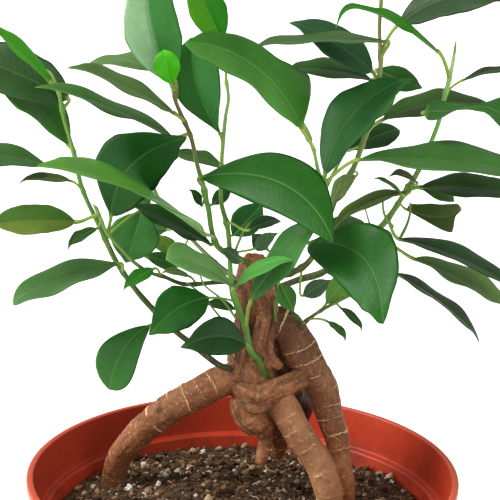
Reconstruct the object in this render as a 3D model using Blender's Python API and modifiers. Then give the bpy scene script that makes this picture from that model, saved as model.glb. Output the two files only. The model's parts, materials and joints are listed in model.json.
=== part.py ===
"""A small grafted fig bonsai with thick aerial roots, growing in a round nursery pot.

Frame: metres, +Z up, the origin at the middle of the pot's flat underside.
Tables are in millimetres and degrees. A heading runs from +X towards +Y, and a pitch is above level.
"""
import math

import bmesh
import bpy
import numpy as np

MM = 0.001
GAP = 0.3              # clearance between pieces that touch or rest on each other

# ---- driving dimensions, mm ----
POT_HEIGHT = 125.0
RIM_RADIUS = 75.0      # outside of the rim
RIM_WALL = 2.4
COLLAR_DROP = 15.0     # rim top down to the inner ledge
COLLAR_RADIUS = 73.2   # outside of the collar, at its foot
BODY_TOP_RADIUS = 70.4
BASE_RADIUS = 52.0
BODY_WALL = 1.9
FLOOR_THICK = 2.2
DRAIN_COUNT = 6
DRAIN_RING = 34.0
DRAIN_RADIUS = 4.0
SOIL_DROP = 20.0       # rim top down to the soil, at the wall
SOIL_HEAP = 7.0        # rise of the soil towards the roots
STALK_R = 0.6          # leaf stalk radius
BLADE_THICK = 0.9      # leaf blade
ROOT_VOXEL = 1.7
ROOT_FACES = 2300
PI = math.pi

# shoots: foot radius, tip radius, the points that the stem passes through from its foot, and its name
SHOOTS = {
    "A": (1.25, 0.7, [
        (2, 9, 196), (-2, 6, 198), (-6, 5, 200), (-10, 4, 203), (-12, 2, 209), (-13, 1, 216), (-14, 1, 220),
        (-15, 0, 225), (-17, -1, 232), (-19, -2, 241), (-22, -3, 248), (-24, -4, 253), (-24, -4, 256),], "shoot_centre"),
    "B": (1.35, 0.65, [
        (8, 6, 154), (5, 2, 163), (2, 1, 167), (0, 0, 176), (-3, -1, 184), (-5, -2, 191), (-6, -1, 206),
        (-7, 1, 212), (-9, 4, 219), (-9, 5, 231), (-8, 6, 246), (-7, 6, 253), (-8, 6, 260),], "shoot_front"),
    "E": (1.35, 0.7, [
        (6, 9, 189), (10, 7, 192), (15, 4, 194), (20, 0, 198), (23, -3, 203), (26, -4, 209), (27, -3, 215),
        (31, -1, 225), (35, 1, 231), (38, 3, 239), (41, 4, 249), (42, 4, 257), (43, 3, 265), (42, 2, 277),
        (42, 0, 286), (42, -1, 293),], "shoot_right"),
    "D": (0.95, 0.6, [
        (26, -6, 218), (26, -8, 222), (25, -9, 228), (23, -10, 231), (21, -12, 239), (20, -12, 241), (19, -13, 250),], "twig_right"),
    "F": (1.55, 0.75, [
        (6, 15, 183), (12, 16, 186), (19, 16, 189), (27, 15, 192), (36, 13, 200), (43, 12, 206), (48, 10, 212),
        (53, 8, 221), (56, 6, 227), (59, 5, 234), (63, 4, 246), (64, 4, 252), (66, 4, 261), (67, 4, 268),], "shoot_far_right"),
    "G": (1.35, 0.7, [
        (-2, 9, 157), (-9, 6, 160), (-17, 4, 167), (-25, 2, 174), (-34, 0, 184), (-39, -2, 191), (-44, -3, 199),
        (-49, -3, 210), (-55, -2, 223), (-58, 0, 235), (-61, 1, 245), (-62, 2, 249), (-63, 3, 254), (-65, 4, 259),], "shoot_left"),
    "G2": (0.95, 0.6, [
        (-1, 8, 189), (-6, 6, 190), (-11, 5, 190), (-21, 2, 190), (-28, 0, 193), (-33, -2, 195), (-38, -7, 200),
        (-42, -9, 205), (-46, -10, 210), (-49, -10, 217),], "shoot_left_inner"),
    "H": (0.9, 0.55, [
        (19, 8, 174), (24, 6, 179), (31, 4, 184), (38, 3, 188),], "twig_low_right"),
    "I": (0.75, 0.5, [
        (11, 8, 174), (10, 5, 181), (11, 3, 186),], "twig_low"),
    "J": (1.25, 0.7, [
        (1, 17, 180), (-3, 26, 185), (-12, 36, 190), (-21, 44, 197), (-31, 50, 207), (-37, 54, 216),], "shoot_back_left"),
    "K": (1.25, 0.7, [
        (6, 18, 178), (11, 26, 186), (18, 36, 197), (26, 44, 211), (32, 50, 222), (38, 54, 234),], "shoot_back_right"),
}

# rootstock: the middle line and radii of the trunk, the bulb and each root
ROOTS = {
    "trunk": (
        [(4, 12, 198), (3, 12, 193), (3, 12, 186), (4, 12, 175), (2, 12, 166), (3, 12, 156), (5, 12, 148), (6, 12, 141), (7, 12, 136)],
        [4.2, 6.0, 6.8, 7.2, 7.4, 8.6, 8.8, 7.0, 5.0]),
    "left": (
        [(0, 12, 154), (-8, 12, 152), (-16, 13, 147), (-25, 16, 141), (-33, 19, 134), (-39, 22, 127), (-45, 25, 119), (-48, 27, 112), (-50, 28, 102), (-51, 29, 93), (-51, 30, 86)],
        [5.6, 5.6, 5.6, 5.6, 5.4, 5.2, 4.8, 4.5, 4.0, 3.0, 2.2]),
    "right": (
        [(6, 13, 174), (14, 12, 173), (20, 11, 164), (24, 10, 157), (28, 9, 150), (30, 8, 143), (33, 7, 134), (35, 6, 125), (37, 5, 118), (38, 5, 110), (38, 5, 103), (39, 5, 97)],
        [5.4, 6.2, 6.3, 6.0, 5.4, 5.0, 4.3, 3.5, 2.9, 2.5, 2.2, 1.8]),
    "centre": (
        [(8, 11, 150), (13, 8, 146), (16, 6, 141), (21, 5, 133), (26, 4, 126), (29, 3, 119), (31, 3, 111), (32, 3, 103), (32, 3, 96)],
        [6.0, 5.2, 5.2, 5.2, 5.0, 4.9, 4.7, 4.0, 3.0]),
    "band": (
        [(-2, 10, 152), (1, 6, 151), (5, 4, 150), (10, 4, 152), (15, 4, 154), (22, 8, 156)],
        [3.6, 4.0, 4.0, 3.8, 3.6, 3.6]),
    "bulge": (
        [(1, 9, 147), (2, 8, 142), (6, 9, 137)],
        [5.6, 6.2, 5.0]),
    "behind": (
        [(10, 13, 148), (17, 17, 145), (22, 22, 141), (21, 29, 130), (24, 35, 115), (27, 38, 103)],
        [4.6, 4.2, 3.8, 3.2, 2.4, 2.0]),
    "web": (
        [(10, 15, 175), (13, 15, 168), (14, 15, 160), (15, 14, 153), (16, 13, 147)],
        [4.0, 5.2, 5.6, 5.2, 4.2]),
    "stub_a": (
        [(7, 11, 139), (8, 10, 132), (7, 9, 126), (6, 9, 122)],
        [4.0, 2.7, 2.5, 1.8]),
    "stub_b": (
        [(9, 14, 137), (13, 15, 128), (12, 15, 122)],
        [4.0, 2.9, 2.0]),
}

# how far up each shoot the rootstock is opened to hold its foot
SOCKETS = {"A": 20, "B": 14, "E": 18, "F": 18, "G": 18, "G2": 18, "H": 10, "I": 10, "J": 16, "K": 18}

# leaves: shoot, distance of the stalk's node from the shoot's foot; stalk heading, pitch and length; blade
# heading, pitch, length, width and roll; arch, fold and bow of the blade; outline and tone
LEAVES = {
    "leaf_01": ("A", 56, -162, -8, 6, -164, 22, 47, 22, -10, 3, 10, 0, "oval", "green"),
    "leaf_02": ("A", 60, -135, 37, 6, -147, 24, 40, 19, -23, 3, 12, 0, "oval", "green"),
    "leaf_03": ("A", 69, 128, 46, 11, 157, 0, 31, 15, -15, 10, 10, 0, "oval", "green"),
    "leaf_04": ("A", 70, 178, 73, 4, -151, 78, 41, 20, -85, 4, 14, 12, "oval", "green"),
    "leaf_05": ("A", 36, -95, 35, 10, -38, -14, 54, 26, 26, 8, 8, 15, "oval", "green"),
    "leaf_06": ("A", 18, -101, 19, 18, -144, 25, 64, 31, -12, 6, 12, 0, "oval", "green"),
    "leaf_07": ("A", 17, -140, -18, 2, -175, 27, 31, 15, -17, 2, 14, 0, "oval", "green"),
    "leaf_08": ("B", 82, -112, 82, 11, -159, 72, 33, 16, -107, 4, 12, 8, "round", "green"),
    "leaf_09": ("B", 110, -128, 79, 14, -159, 63, 24, 12, -106, 4, 24, 0, "oval", "young"),
    "leaf_10": ("B", 34, -163, 13, 10, -143, -21, 25, 15, -61, 3, 10, -10, "oval", "green"),
    "leaf_11": ("B", 38, -92, 34, 7, -138, 27, 30, 15, -37, 6, 16, 0, "round", "green"),
    "leaf_12": ("B", 24, -83, 45, 19, -38, 50, 38, 18, 69, 4, 8, 0, "oval", "green"),
    "leaf_13": ("B", 36, -89, 31, 13, -41, 30, 27, 13, 41, 8, 14, 0, "oval", "green"),
    "leaf_14": ("B", 15, -105, 34, 9, -143, 7, 26, 13, -74, 6, 14, -12, "oval", "green"),
    "leaf_15": ("E", 95, -83, 42, 9, -167, -2, 44, 21, -7, 2, 10, 0, "oval", "green"),
    "leaf_16": ("E", 82, 113, 71, 9, -173, 30, 32, 15, -50, 6, 14, 0, "broad", "green"),
    "leaf_17": ("E", 85, 99, 19, 7, -165, 6, 31, 15, -22, 6, 12, 0, "oval", "green"),
    "leaf_18": ("E", 97, 39, 49, 12, -19, 14, 36, 17, 50, 6, 12, 12, "oval", "green"),
    "leaf_19": ("E", 69, 59, 18, 13, 3, 7, 40, 19, 18, 10, 12, 0, "oval", "green"),
    "leaf_20": ("E", 27, -107, 25, 10, -59, -23, 43, 23, 47, 4, 10, 21, "round", "green"),
    "leaf_21": ("D", 23, -129, 47, 10, -134, 30, 56, 27, -64, 6, 18, -9, "round", "green"),
    "leaf_22": ("D", 10, 91, 70, 3, 9, 49, 42, 20, 33, 5, 12, 15, "oval", "green"),
    "leaf_23": ("D", 10, -17, 38, 14, -12, -3, 57, 27, 13, 4, 14, 0, "obovate", "green"),
    "leaf_24": ("F", 106, -128, 46, 13, -158, 13, 37, 18, -28, 8, 14, 0, "broad", "young"),
    "leaf_25": ("F", 95, -125, 1, 12, -8, -10, 43, 21, 29, 8, 12, 0, "oval", "green"),
    "leaf_26": ("F", 64, -19, 26, 6, -13, -2, 35, 17, 19, 4, 14, 0, "oval", "green"),
    "leaf_27": ("F", 60, 55, -27, 7, 26, -2, 24, 11, 56, 2, 12, -16, "broad", "olive"),
    "leaf_28": ("F", 67, -103, -12, 6, -171, -25, 28, 13, -5, 10, 16, 0, "oval", "olive"),
    "leaf_29": ("F", 53, -24, -55, 8, -17, -20, 44, 21, 2, 6, 14, 0, "oval", "green"),
    "leaf_30": ("F", 45, 0, -29, 17, -13, -24, 39, 19, 8, 4, 14, 0, "oval", "olive"),
    "leaf_31": ("F", 35, -4, -23, 18, -22, -33, 37, 18, -6, 4, 14, 0, "oval", "green"),
    "leaf_32": ("G", 121, -159, 52, 5, -157, 43, 28, 13, -27, 2, 18, 0, "oval", "young"),
    "leaf_33": ("G", 115, 63, 49, 5, 171, 21, 42, 20, -48, 4, 8, 0, "round", "green"),
    "leaf_34": ("G", 101, 121, 20, 5, 155, 32, 39, 19, -9, 8, 12, -6, "oval", "olive"),
    "leaf_35": ("G", 97, -160, -1, 10, -160, 6, 35, 17, -20, 6, 12, 0, "oval", "green"),
    "leaf_36": ("G", 70, 44, 25, 17, -130, -66, 18, 17, -45, 4, 10, 0, "oval", "green"),
    "leaf_37": ("G", 34, -142, -5, 6, -132, -44, 26, 14, -47, 4, 8, -12, "blunt", "green"),
    "leaf_38": ("G", 57, -101, 42, 6, -162, -17, 37, 18, -13, 5, 12, 0, "blunt", "green"),
    "leaf_39": ("G2", 56, 87, 41, 8, -23, 45, 39, 22, 104, 4, 12, 17, "oval", "green"),
    "leaf_40": ("G2", 63, -165, -15, 8, -159, 1, 28, 13, -40, 5, 20, 0, "oval", "olive"),
    "leaf_41": ("J", 64, 111, 38, 6, 132, 15, 26, 12, -40, 6, 12, 0, "oval", "green"),
    "leaf_42": ("J", 66, 63, 55, 6, 75, 19, 23, 11, 12, 6, 12, 0, "oval", "green"),
    "leaf_43": ("J", 55, 137, -7, 9, 126, 0, 29, 14, -21, 8, 12, 0, "oval", "green"),
    "leaf_44": ("K", 73, 65, 40, 5, 40, 31, 27, 13, 11, 6, 12, 0, "oval", "green"),
    "leaf_45": ("K", 47, 65, -49, 13, 46, -32, 46, 22, 52, 8, 12, 0, "oval", "green"),
    "leaf_46": ("K", 53, 125, -2, 14, 131, 3, 34, 16, -15, 8, 12, 0, "oval", "green"),
    "small_01": ("A", 71, -100, 26, 7, -107, 60, 12, 8, -155, 4, 16, 0, "round", "young"),
    "small_02": ("A", 6, -88, 6, 8, -137, 34, 10, 5, -75, 6, 12, 0, "round", "green"),
    "small_03": ("A", 36, 75, -35, 11, 27, 38, 9, 5, 66, 6, 12, 0, "oval", "green"),
    "small_04": ("A", 34, 136, -61, 4, -155, 56, 7, 4, -62, 6, 12, 0, "oval", "green"),
    "small_05": ("B", 80, 88, 6, 4, 158, 12, 20, 10, -16, 6, 12, 0, "oval", "olive"),
    "small_06": ("B", 32, 112, -22, 3, -165, 13, 11, 5, -35, 6, 12, 0, "oval", "green"),
    "small_07": ("B", 62, -63, 3, 17, 45, 6, 15, 7, 17, 6, 12, 0, "oval", "green"),
    "small_08": ("B", 62, 87, -19, 33, 2, 48, 16, 11, 81, 6, 12, 0, "oval", "green"),
    "small_09": ("B", 51, 39, 6, 11, -27, 37, 10, 5, 82, 6, 12, 0, "oval", "green"),
    "small_10": ("E", 89, 88, 15, 7, -16, -20, 16, 8, 83, 2, 12, 0, "oval", "green"),
    "small_11": ("E", 65, 108, -14, 10, 36, 15, 24, 12, 29, 6, 10, 0, "oval", "green"),
    "small_12": ("E", 56, 73, -18, 8, 128, -41, 17, 8, -78, 6, 12, 0, "oval", "olive"),
    "small_13": ("E", 17, 72, -74, 11, -13, 34, 11, 6, 83, 6, 12, 0, "oval", "green"),
    "small_14": ("E", 12, 149, 36, 12, -159, 45, 8, 6, -97, 6, 12, 0, "oval", "green"),
    "small_15": ("F", 101, 0, 39, 7, -12, 14, 19, 9, 13, 6, 8, 0, "oval", "green"),
    "small_16": ("F", 67, 33, -12, 6, 24, -19, 15, 7, 50, 6, 12, 0, "oval", "green"),
    "small_17": ("F", 67, -81, 19, 9, -145, 18, 12, 6, -31, 10, 12, 0, "oval", "green"),
    "small_18": ("F", 64, -102, 9, 11, -173, 31, 11, 5, -17, 6, 12, 0, "oval", "green"),
    "small_19": ("G", 87, -154, 44, 6, -159, 3, 17, 8, -15, 6, 12, 0, "oval", "olive"),
    "small_20": ("G2", 61, -121, -46, 3, -146, -25, 12, 6, -15, 6, 16, 0, "oval", "green"),
    "small_21": ("G2", 30, -116, 36, 6, -141, -22, 13, 6, -28, 6, 12, 0, "oval", "young"),
    "small_22": ("G2", 17, -150, 49, 4, -158, 15, 10, 5, -23, 6, 12, 0, "oval", "olive"),
    "small_23": ("H", 10, 55, 27, 4, 35, 43, 14, 8, 51, 6, 12, 0, "oval", "olive"),
    "small_24": ("H", 16, -54, -22, 3, -25, -39, 11, 5, 10, 6, 12, 0, "oval", "green"),
    "small_25": ("H", 4, -37, 7, 8, -43, -28, 10, 5, -1, 8, 12, 0, "oval", "green"),
    "small_26": ("H", 2, -98, 21, 4, -139, 31, 7, 3, -49, 6, 12, 0, "oval", "green"),
    "small_27": ("I", 12, -77, 61, 7, -54, -45, 11, 7, 39, 4, 12, 0, "oval", "green"),
    "small_28": ("J", 40, -100, -2, 19, -177, 23, 11, 6, -78, 6, 12, 0, "round", "green"),
    "small_29": ("J", 25, -139, 4, 18, -150, 22, 13, 6, -64, 6, 12, 0, "round", "green"),
    "small_30": ("J", 46, 111, -16, 16, 132, -16, 28, 13, -54, 8, 12, 0, "oval", "green"),
    "small_31": ("K", 42, 121, -8, 9, 131, 10, 30, 14, -12, 8, 12, 0, "oval", "green"),
}


# ---- shape rules ----

def unit(v):
    v = np.asarray(v, float)
    return v / max(1e-12, math.sqrt(float(v @ v)))


def heading_pitch(heading, pitch):
    """Unit vector: heading in degrees from +X towards +Y, pitch in degrees above level."""
    h, p = math.radians(heading), math.radians(pitch)
    return np.array([math.cos(h) * math.cos(p), math.sin(h) * math.cos(p), math.sin(p)])


def smooth_path(points, step):
    """Points every `step` mm along a Catmull-Rom curve through the given points."""
    p = np.asarray(points, float)
    p = np.vstack([2 * p[0] - p[1], p, 2 * p[-1] - p[-2]])
    out = []
    for i in range(1, len(p) - 2):
        a, b, c, d = p[i - 1], p[i], p[i + 1], p[i + 2]
        n = max(4, int(np.linalg.norm(c - b)))
        for k in range(n):
            t = k / n
            out.append(0.5 * (2 * b + (c - a) * t + (2 * a - 5 * b + 4 * c - d) * t * t + (3 * b - a - 3 * c + d) * t**3))
    out.append(p[-2])
    out = np.array(out)
    run = np.concatenate([[0], np.cumsum(np.linalg.norm(np.diff(out, axis=0), axis=1))])
    m = max(2, int(round(run[-1] / step)) + 1)
    s = np.linspace(0, run[-1], m)
    return np.stack([np.interp(s, run, out[:, k]) for k in range(3)], 1)


def along(points, s):
    """The point s mm along a smooth path, and its direction there."""
    fine = smooth_path(points, 1.0)
    run = np.concatenate([[0], np.cumsum(np.linalg.norm(np.diff(fine, axis=0), axis=1))])
    s = min(max(s, 0.0), run[-1])
    at = np.array([np.interp(s, run, fine[:, k]) for k in range(3)])
    lo, hi = max(0.0, s - 1.5), min(run[-1], s + 1.5)
    a = np.array([np.interp(lo, run, fine[:, k]) for k in range(3)])
    b = np.array([np.interp(hi, run, fine[:, k]) for k in range(3)])
    return at, unit(b - a)


def path_length(points):
    fine = smooth_path(points, 1.0)
    return float(np.linalg.norm(np.diff(fine, axis=0), axis=1).sum())


def blade_frame(heading, pitch, roll):
    """Axes of a blade: along its midrib, across it, and out of its upper face."""
    x = heading_pitch(heading, pitch)
    z0 = heading_pitch(heading, pitch + 90)
    y0 = np.cross(z0, x)
    r = math.radians(roll)
    z = z0 * math.cos(r) - y0 * math.sin(r)
    return x, np.cross(z, x), z


def half_width(u, kind):
    """Half width of a blade over its full width, at u from the base, 0, to the tip, 1."""
    u = np.clip(np.asarray(u, float), 0.0, 1.0)
    belly, full = {"oval": (0.92, 0.80), "lance": (0.86, 1.0), "obovate": (1.12, 0.82), "round": (0.92, 0.62), "broad": (0.74, 0.78), "blunt": (1.15, 0.66)}[kind]
    w = np.sin(math.pi * u**belly) ** full
    tip = np.clip((u - 0.86) / 0.14, 0, 1)
    return 0.5 * w * (1 - 0.35 * tip * (1 - tip) * 2)


def blade_point(leaf, u, v):
    """A point of the blade's middle surface, in mm. v runs from -1 to 1 across it."""
    x, y, z = leaf["axes"]
    L, W = leaf["length"], leaf["width"]
    u = np.asarray(u, float)
    hw = half_width(u, leaf["kind"]) * W
    across = v * hw
    lift = leaf["arch"] / 100 * L * 4 * u * (1 - u)
    slope = math.tan(math.radians(leaf["fold"]))
    lift = lift + slope * np.abs(across) - 0.5 * slope * across**2 / (0.5 * W)
    side = leaf["bow"] / 100 * L * 4 * u * (1 - u)
    return leaf["base"] + np.multiply.outer(u * L, x) + np.multiply.outer(across + side, y) + np.multiply.outer(lift, z)


def turn_to(frame, tangent):
    """The frame turned by the least angle so that its first axis is the tangent."""
    a, b = frame[0], unit(tangent)
    c = float(a @ b)
    w = np.cross(a, b)
    s = math.sqrt(float(w @ w))
    if s < 1e-9:
        return [b, frame[1], frame[2]]
    k = w / s
    out = [b]
    for v in frame[1:]:
        out.append(v * c + np.cross(k, v) * s + k * float(k @ v) * (1 - c))
    return out


def petiole_path(leaf, count):
    """Points of the leaf stalk, from its foot to the blade, and the direction at each."""
    x, y, z = leaf["axes"]
    out = unit(x + 4 * leaf["arch"] / 100 * z + 4 * leaf["bow"] / 100 * y)
    a, c = leaf["foot"], leaf["base"]
    b = c - out * 0.45 * np.linalg.norm(c - a)
    t = np.linspace(0, 1, count)[:, None]
    return a * (1 - t) ** 2 + 2 * b * t * (1 - t) + c * t**2, 2 * (b - a) * (1 - t) + 2 * (c - b) * t


def leaf_from_row(row, shoots, joined):
    """Places one leaf: its stalk leaves the shoot `s` mm above the shoot's foot."""
    shoot, s, ph, pp, pl, bh, bp, length, width, roll, arch, fold, bow, kind = row
    foot_r, tip_r, points = shoots[shoot][:3]
    at, way = along(points, s)
    out = heading_pitch(ph, pp)
    base = at + out * pl
    r = foot_r + (tip_r - foot_r) * min(1.0, s / path_length(points))
    lean = max(0.30, float(np.linalg.norm(np.cross(way, out))))
    skip = 0.0 if joined else min(0.8 * pl, (r + STALK_R + 0.45) / lean)
    return {
        "foot": at + out * skip, "node": at, "base": base, "axes": blade_frame(bh, bp, roll), "length": float(length),
        "width": float(width), "arch": arch, "fold": fold, "bow": bow, "kind": kind, "shoot": shoot,
    }


def leaf_shell(leaf, stalk_cuts=3, blade_cuts=(0.0, 0.16, 0.36, 0.58, 0.8, 1.0)):
    """Points and faces of a stalk and blade lofted as one closed body, in mm."""
    rings = []
    spots, ways = petiole_path(leaf, stalk_cuts)
    axes = leaf["axes"]
    frames, frame = [], [axes[0], axes[1], axes[2]]
    for way in ways[::-1]:
        frame = turn_to(frame, way)
        frames.append(frame)
    frames = frames[::-1]
    for spot, frame in list(zip(spots, frames))[:-1]:
        rings.append([spot + STALK_R * (math.cos(a) * frame[1] + math.sin(a) * frame[2]) for a in [math.pi - k * math.pi / 3 for k in range(6)]])
    for u in blade_cuts:
        half = max(float(half_width(u, leaf["kind"])) * leaf["width"], 0.45 if u > 0.5 else STALK_R)
        full = max(1e-6, float(half_width(u, leaf["kind"])) * leaf["width"])
        thick = 0.5 * BLADE_THICK if 0 < u < 1 else 0.35
        ring = []
        for v, side in ((-1, 0), (-0.45, 1), (0.45, 1), (1, 0), (0.45, -1), (-0.45, -1)):
            p = blade_point(leaf, u, v * half / full if full > 1e-3 else 0.0)
            if full <= 1e-3:
                p = p + v * half * axes[1]
            ring.append(p + side * thick * axes[2])
        rings.append(ring)
    n = len(rings)
    points = [tuple(p) for ring in rings for p in ring]
    faces = []
    for i in range(n - 1):
        for k in range(6):
            a, b = i * 6 + k, i * 6 + (k + 1) % 6
            faces.append((a, a + 6, b + 6, b))
    faces.append(tuple(range(6)))
    faces.append(tuple((n - 1) * 6 + k for k in range(5, -1, -1)))
    return points, faces


# ---- Blender helpers ----

def paint(name, colour, roughness, metallic=0.0):
    material = bpy.data.materials.new(name)
    material.use_nodes = True
    shader = material.node_tree.nodes["Principled BSDF"]
    shader.inputs["Base Color"].default_value = (*colour, 1.0)
    shader.inputs["Roughness"].default_value = roughness
    shader.inputs["Metallic"].default_value = metallic
    material.diffuse_color = (*colour, 1.0)
    return material


def place(obj, collection, material=None, smooth=40):
    for other in list(obj.users_collection):
        other.objects.unlink(obj)
    collection.objects.link(obj)
    if material is not None:
        obj.data.materials.clear()
        obj.data.materials.append(material)
    if smooth:
        obj.data.shade_smooth()
        obj.data.set_sharp_from_angle(angle=math.radians(smooth))
    return obj


def from_shell(name, points, faces):
    mesh = bpy.data.meshes.new(name)
    mesh.from_pydata([tuple(c * MM for c in p) for p in points], [], faces)
    mesh.update()
    return bpy.data.objects.new(name, mesh)


def turned(name, profile, steps):
    """A body turned about Z from (radius, height) points, down its outer side."""
    mesh = bpy.data.meshes.new(name)
    points = [(r * MM, 0.0, z * MM) for r, z in profile]
    mesh.from_pydata(points, [(i, i + 1) for i in range(len(points) - 1)], [])
    obj = bpy.data.objects.new(name, mesh)
    screw = obj.modifiers.new("turn", "SCREW")
    screw.axis = "Z"
    screw.angle = 2 * PI
    screw.steps = steps
    screw.render_steps = steps
    screw.use_merge_vertices = True
    screw.merge_threshold = 0.00005
    screw.use_smooth_shade = True
    return obj


def tube_curve(name, path, radii, sides):
    """A tube curve along points in mm, one radius for each point."""
    data = bpy.data.curves.new(name, "CURVE")
    data.dimensions = "3D"
    data.bevel_depth = MM
    data.bevel_resolution = sides
    data.use_fill_caps = True
    spline = data.splines.new("POLY")
    spline.points.add(len(path) - 1)
    for point, spot, radius in zip(spline.points, path, radii):
        point.co = (spot[0] * MM, spot[1] * MM, spot[2] * MM, 1.0)
        point.radius = radius
    return bpy.data.objects.new(name, data)


def as_mesh(curve_obj, collection):
    """The curve's tube as a mesh object with welded caps."""
    collection.objects.link(curve_obj)
    graph = bpy.context.evaluated_depsgraph_get()
    mesh = bpy.data.meshes.new_from_object(curve_obj.evaluated_get(graph))
    work = bmesh.new()
    work.from_mesh(mesh)
    bmesh.ops.remove_doubles(work, verts=work.verts, dist=0.000005)
    bmesh.ops.recalc_face_normals(work, faces=work.faces)
    work.to_mesh(mesh)
    work.free()
    name = curve_obj.name
    obj = bpy.data.objects.new(name + "_mesh", mesh)
    obj.matrix_world = curve_obj.matrix_world.copy()
    data = curve_obj.data
    bpy.data.objects.remove(curve_obj)
    bpy.data.curves.remove(data)
    obj.name = name
    collection.objects.link(obj)
    return obj


def as_cutter(obj, collection):
    for other in list(obj.users_collection):
        other.objects.unlink(obj)
    collection.objects.link(obj)
    obj.hide_render = True
    obj.display_type = "WIRE"
    return obj


def boolean(obj, other, operation, name):
    modifier = obj.modifiers.new(name, "BOOLEAN")
    modifier.operation = operation
    modifier.solver = "EXACT"
    modifier.object = other
    return modifier


def shoot_tube(name, key, collection, grow=0.0, upto=None, step=7.0):
    foot_r, tip_r, points = SHOOTS[key][:3]
    path = smooth_path(points, step)
    radii = np.linspace(foot_r, tip_r, len(path)) + grow
    if upto is not None:
        path = smooth_path(points, 3.0)
        radii = np.linspace(foot_r, tip_r, len(path)) + grow
        keep = [i for i in range(len(path)) if i * 3.0 <= upto]
        path, radii = path[: len(keep)], radii[: len(keep)]
        path = np.vstack([path[0] - (path[1] - path[0]) * 0.15, path])
        radii = np.concatenate([[radii[0]], radii])
    return as_mesh(tube_curve(name, path, radii, 2), collection)


def main():
    for obj in list(bpy.data.objects):
        bpy.data.objects.remove(obj)
    tree = bpy.data.collections.new("potted_bonsai")
    cutters = bpy.data.collections.new("cutters")
    bpy.context.scene.collection.children.link(tree)
    bpy.context.scene.collection.children.link(cutters)

    terracotta = paint("terracotta_plastic", (0.52, 0.12, 0.06), 0.45)
    peat = paint("peat_soil", (0.05, 0.03, 0.02), 0.95)
    bark = paint("root_bark", (0.32, 0.16, 0.08), 0.75)
    green_wood = paint("green_stem", (0.18, 0.26, 0.06), 0.5)
    leaf_green = paint("leaf_green", (0.05, 0.18, 0.03), 0.35)
    leaf_young = paint("leaf_young", (0.16, 0.40, 0.03), 0.35)
    leaf_olive = paint("leaf_olive", (0.14, 0.20, 0.05), 0.4)
    tones = {"green": leaf_green, "young": leaf_young, "olive": leaf_olive}

    # pot: one moulding, with a stepped collar and drain holes off its middle
    h = POT_HEIGHT
    inner_top = RIM_RADIUS - RIM_WALL
    ledge_z = h - COLLAR_DROP
    inner_body = BODY_TOP_RADIUS - BODY_WALL
    profile = [
        (0, FLOOR_THICK), (BASE_RADIUS - BODY_WALL - 1.0, FLOOR_THICK), (BASE_RADIUS - BODY_WALL, FLOOR_THICK + 1.0),
        (inner_body, ledge_z - 1.0), (inner_body + 0.6, ledge_z - 0.3), (inner_top - 1.4, ledge_z),
        (inner_top - 0.9, ledge_z + 0.6), (inner_top, h - 0.6), (inner_top + 0.6, h), (RIM_RADIUS - 0.7, h),
        (RIM_RADIUS, h - 0.7), (RIM_RADIUS, h - 2.6), (RIM_RADIUS - 0.8, h - 3.2), (COLLAR_RADIUS, ledge_z - 2.4),
        (COLLAR_RADIUS - 0.6, ledge_z - 3.0), (BODY_TOP_RADIUS, ledge_z - 3.4), (BASE_RADIUS, 1.0), (BASE_RADIUS - 1.0, 0), (0, 0),
    ]
    pot = place(turned("pot", profile, 48), tree, terracotta, smooth=35)
    for i in range(DRAIN_COUNT):
        angle = 2 * PI * i / DRAIN_COUNT
        bpy.ops.mesh.primitive_cylinder_add(
            vertices=12, radius=DRAIN_RADIUS * MM, depth=12 * MM,
            location=(DRAIN_RING * math.cos(angle) * MM, DRAIN_RING * math.sin(angle) * MM, 1 * MM))
        drill = bpy.context.object
        drill.name = "cut_drain_%d" % (i + 1)
        boolean(pot, as_cutter(drill, cutters), "DIFFERENCE", "drain_%d" % (i + 1))

    # soil: fills the pot and heaps up gently round the roots
    def inside(z):
        low = FLOOR_THICK + 1.0
        return BASE_RADIUS - BODY_WALL + (inner_body - BASE_RADIUS + BODY_WALL) * (z - low) / (ledge_z - 1.0 - low) - GAP - 0.1
    top = h - SOIL_DROP
    soil_profile = [(0, top + SOIL_HEAP)]
    for r in (14, 28, 42, 54, 62):
        soil_profile.append((r, top + SOIL_HEAP * 0.5 * (1 + math.cos(PI * r / 66))))
    soil_profile += [(inside(top) - 0.4, top), (inside(top - 1), top - 1), (inside(60), 60), (inside(6), 6), (inside(4.2) - 0.8, FLOOR_THICK + GAP + 0.1), (0, FLOOR_THICK + GAP + 0.1)]
    soil = place(turned("soil", soil_profile, 36), tree, peat, smooth=50)

    # rootstock: trunk, bulb and aerial roots grown together
    roots = []
    for key, (points, radii) in ROOTS.items():
        path = smooth_path(points, 4.0)
        run = np.concatenate([[0], np.cumsum(np.linalg.norm(np.diff(np.array(points, float), axis=0), axis=1))])
        fine = np.interp(np.linspace(0, run[-1], len(path)), run, radii)
        roots.append(as_mesh(tube_curve("root_" + key, path, fine, 3), cutters))
    work = bmesh.new()
    for obj in roots:
        work.from_mesh(obj.data)
    joined = bpy.data.meshes.new("rootstock")
    work.to_mesh(joined)
    work.free()
    for obj in roots:
        bpy.data.objects.remove(obj)
    rootstock = place(bpy.data.objects.new("rootstock", joined), tree, bark, smooth=0)
    blend = rootstock.modifiers.new("grow_together", "REMESH")
    blend.mode = "VOXEL"
    blend.voxel_size = ROOT_VOXEL * MM
    ease = rootstock.modifiers.new("ease", "SMOOTH")
    ease.factor = 0.5
    ease.iterations = 3
    graph = bpy.context.evaluated_depsgraph_get()
    count = len(rootstock.evaluated_get(graph).data.polygons) * 2
    thin = rootstock.modifiers.new("coarsen", "DECIMATE")
    thin.ratio = min(1.0, ROOT_FACES / count)
    thin.use_collapse_triangulate = True
    for key, depth in SOCKETS.items():
        socket = as_cutter(shoot_tube("cut_socket_" + key, key, cutters, grow=GAP + 0.15, upto=depth), cutters)
        boolean(rootstock, socket, "DIFFERENCE", "socket_" + key)

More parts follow.
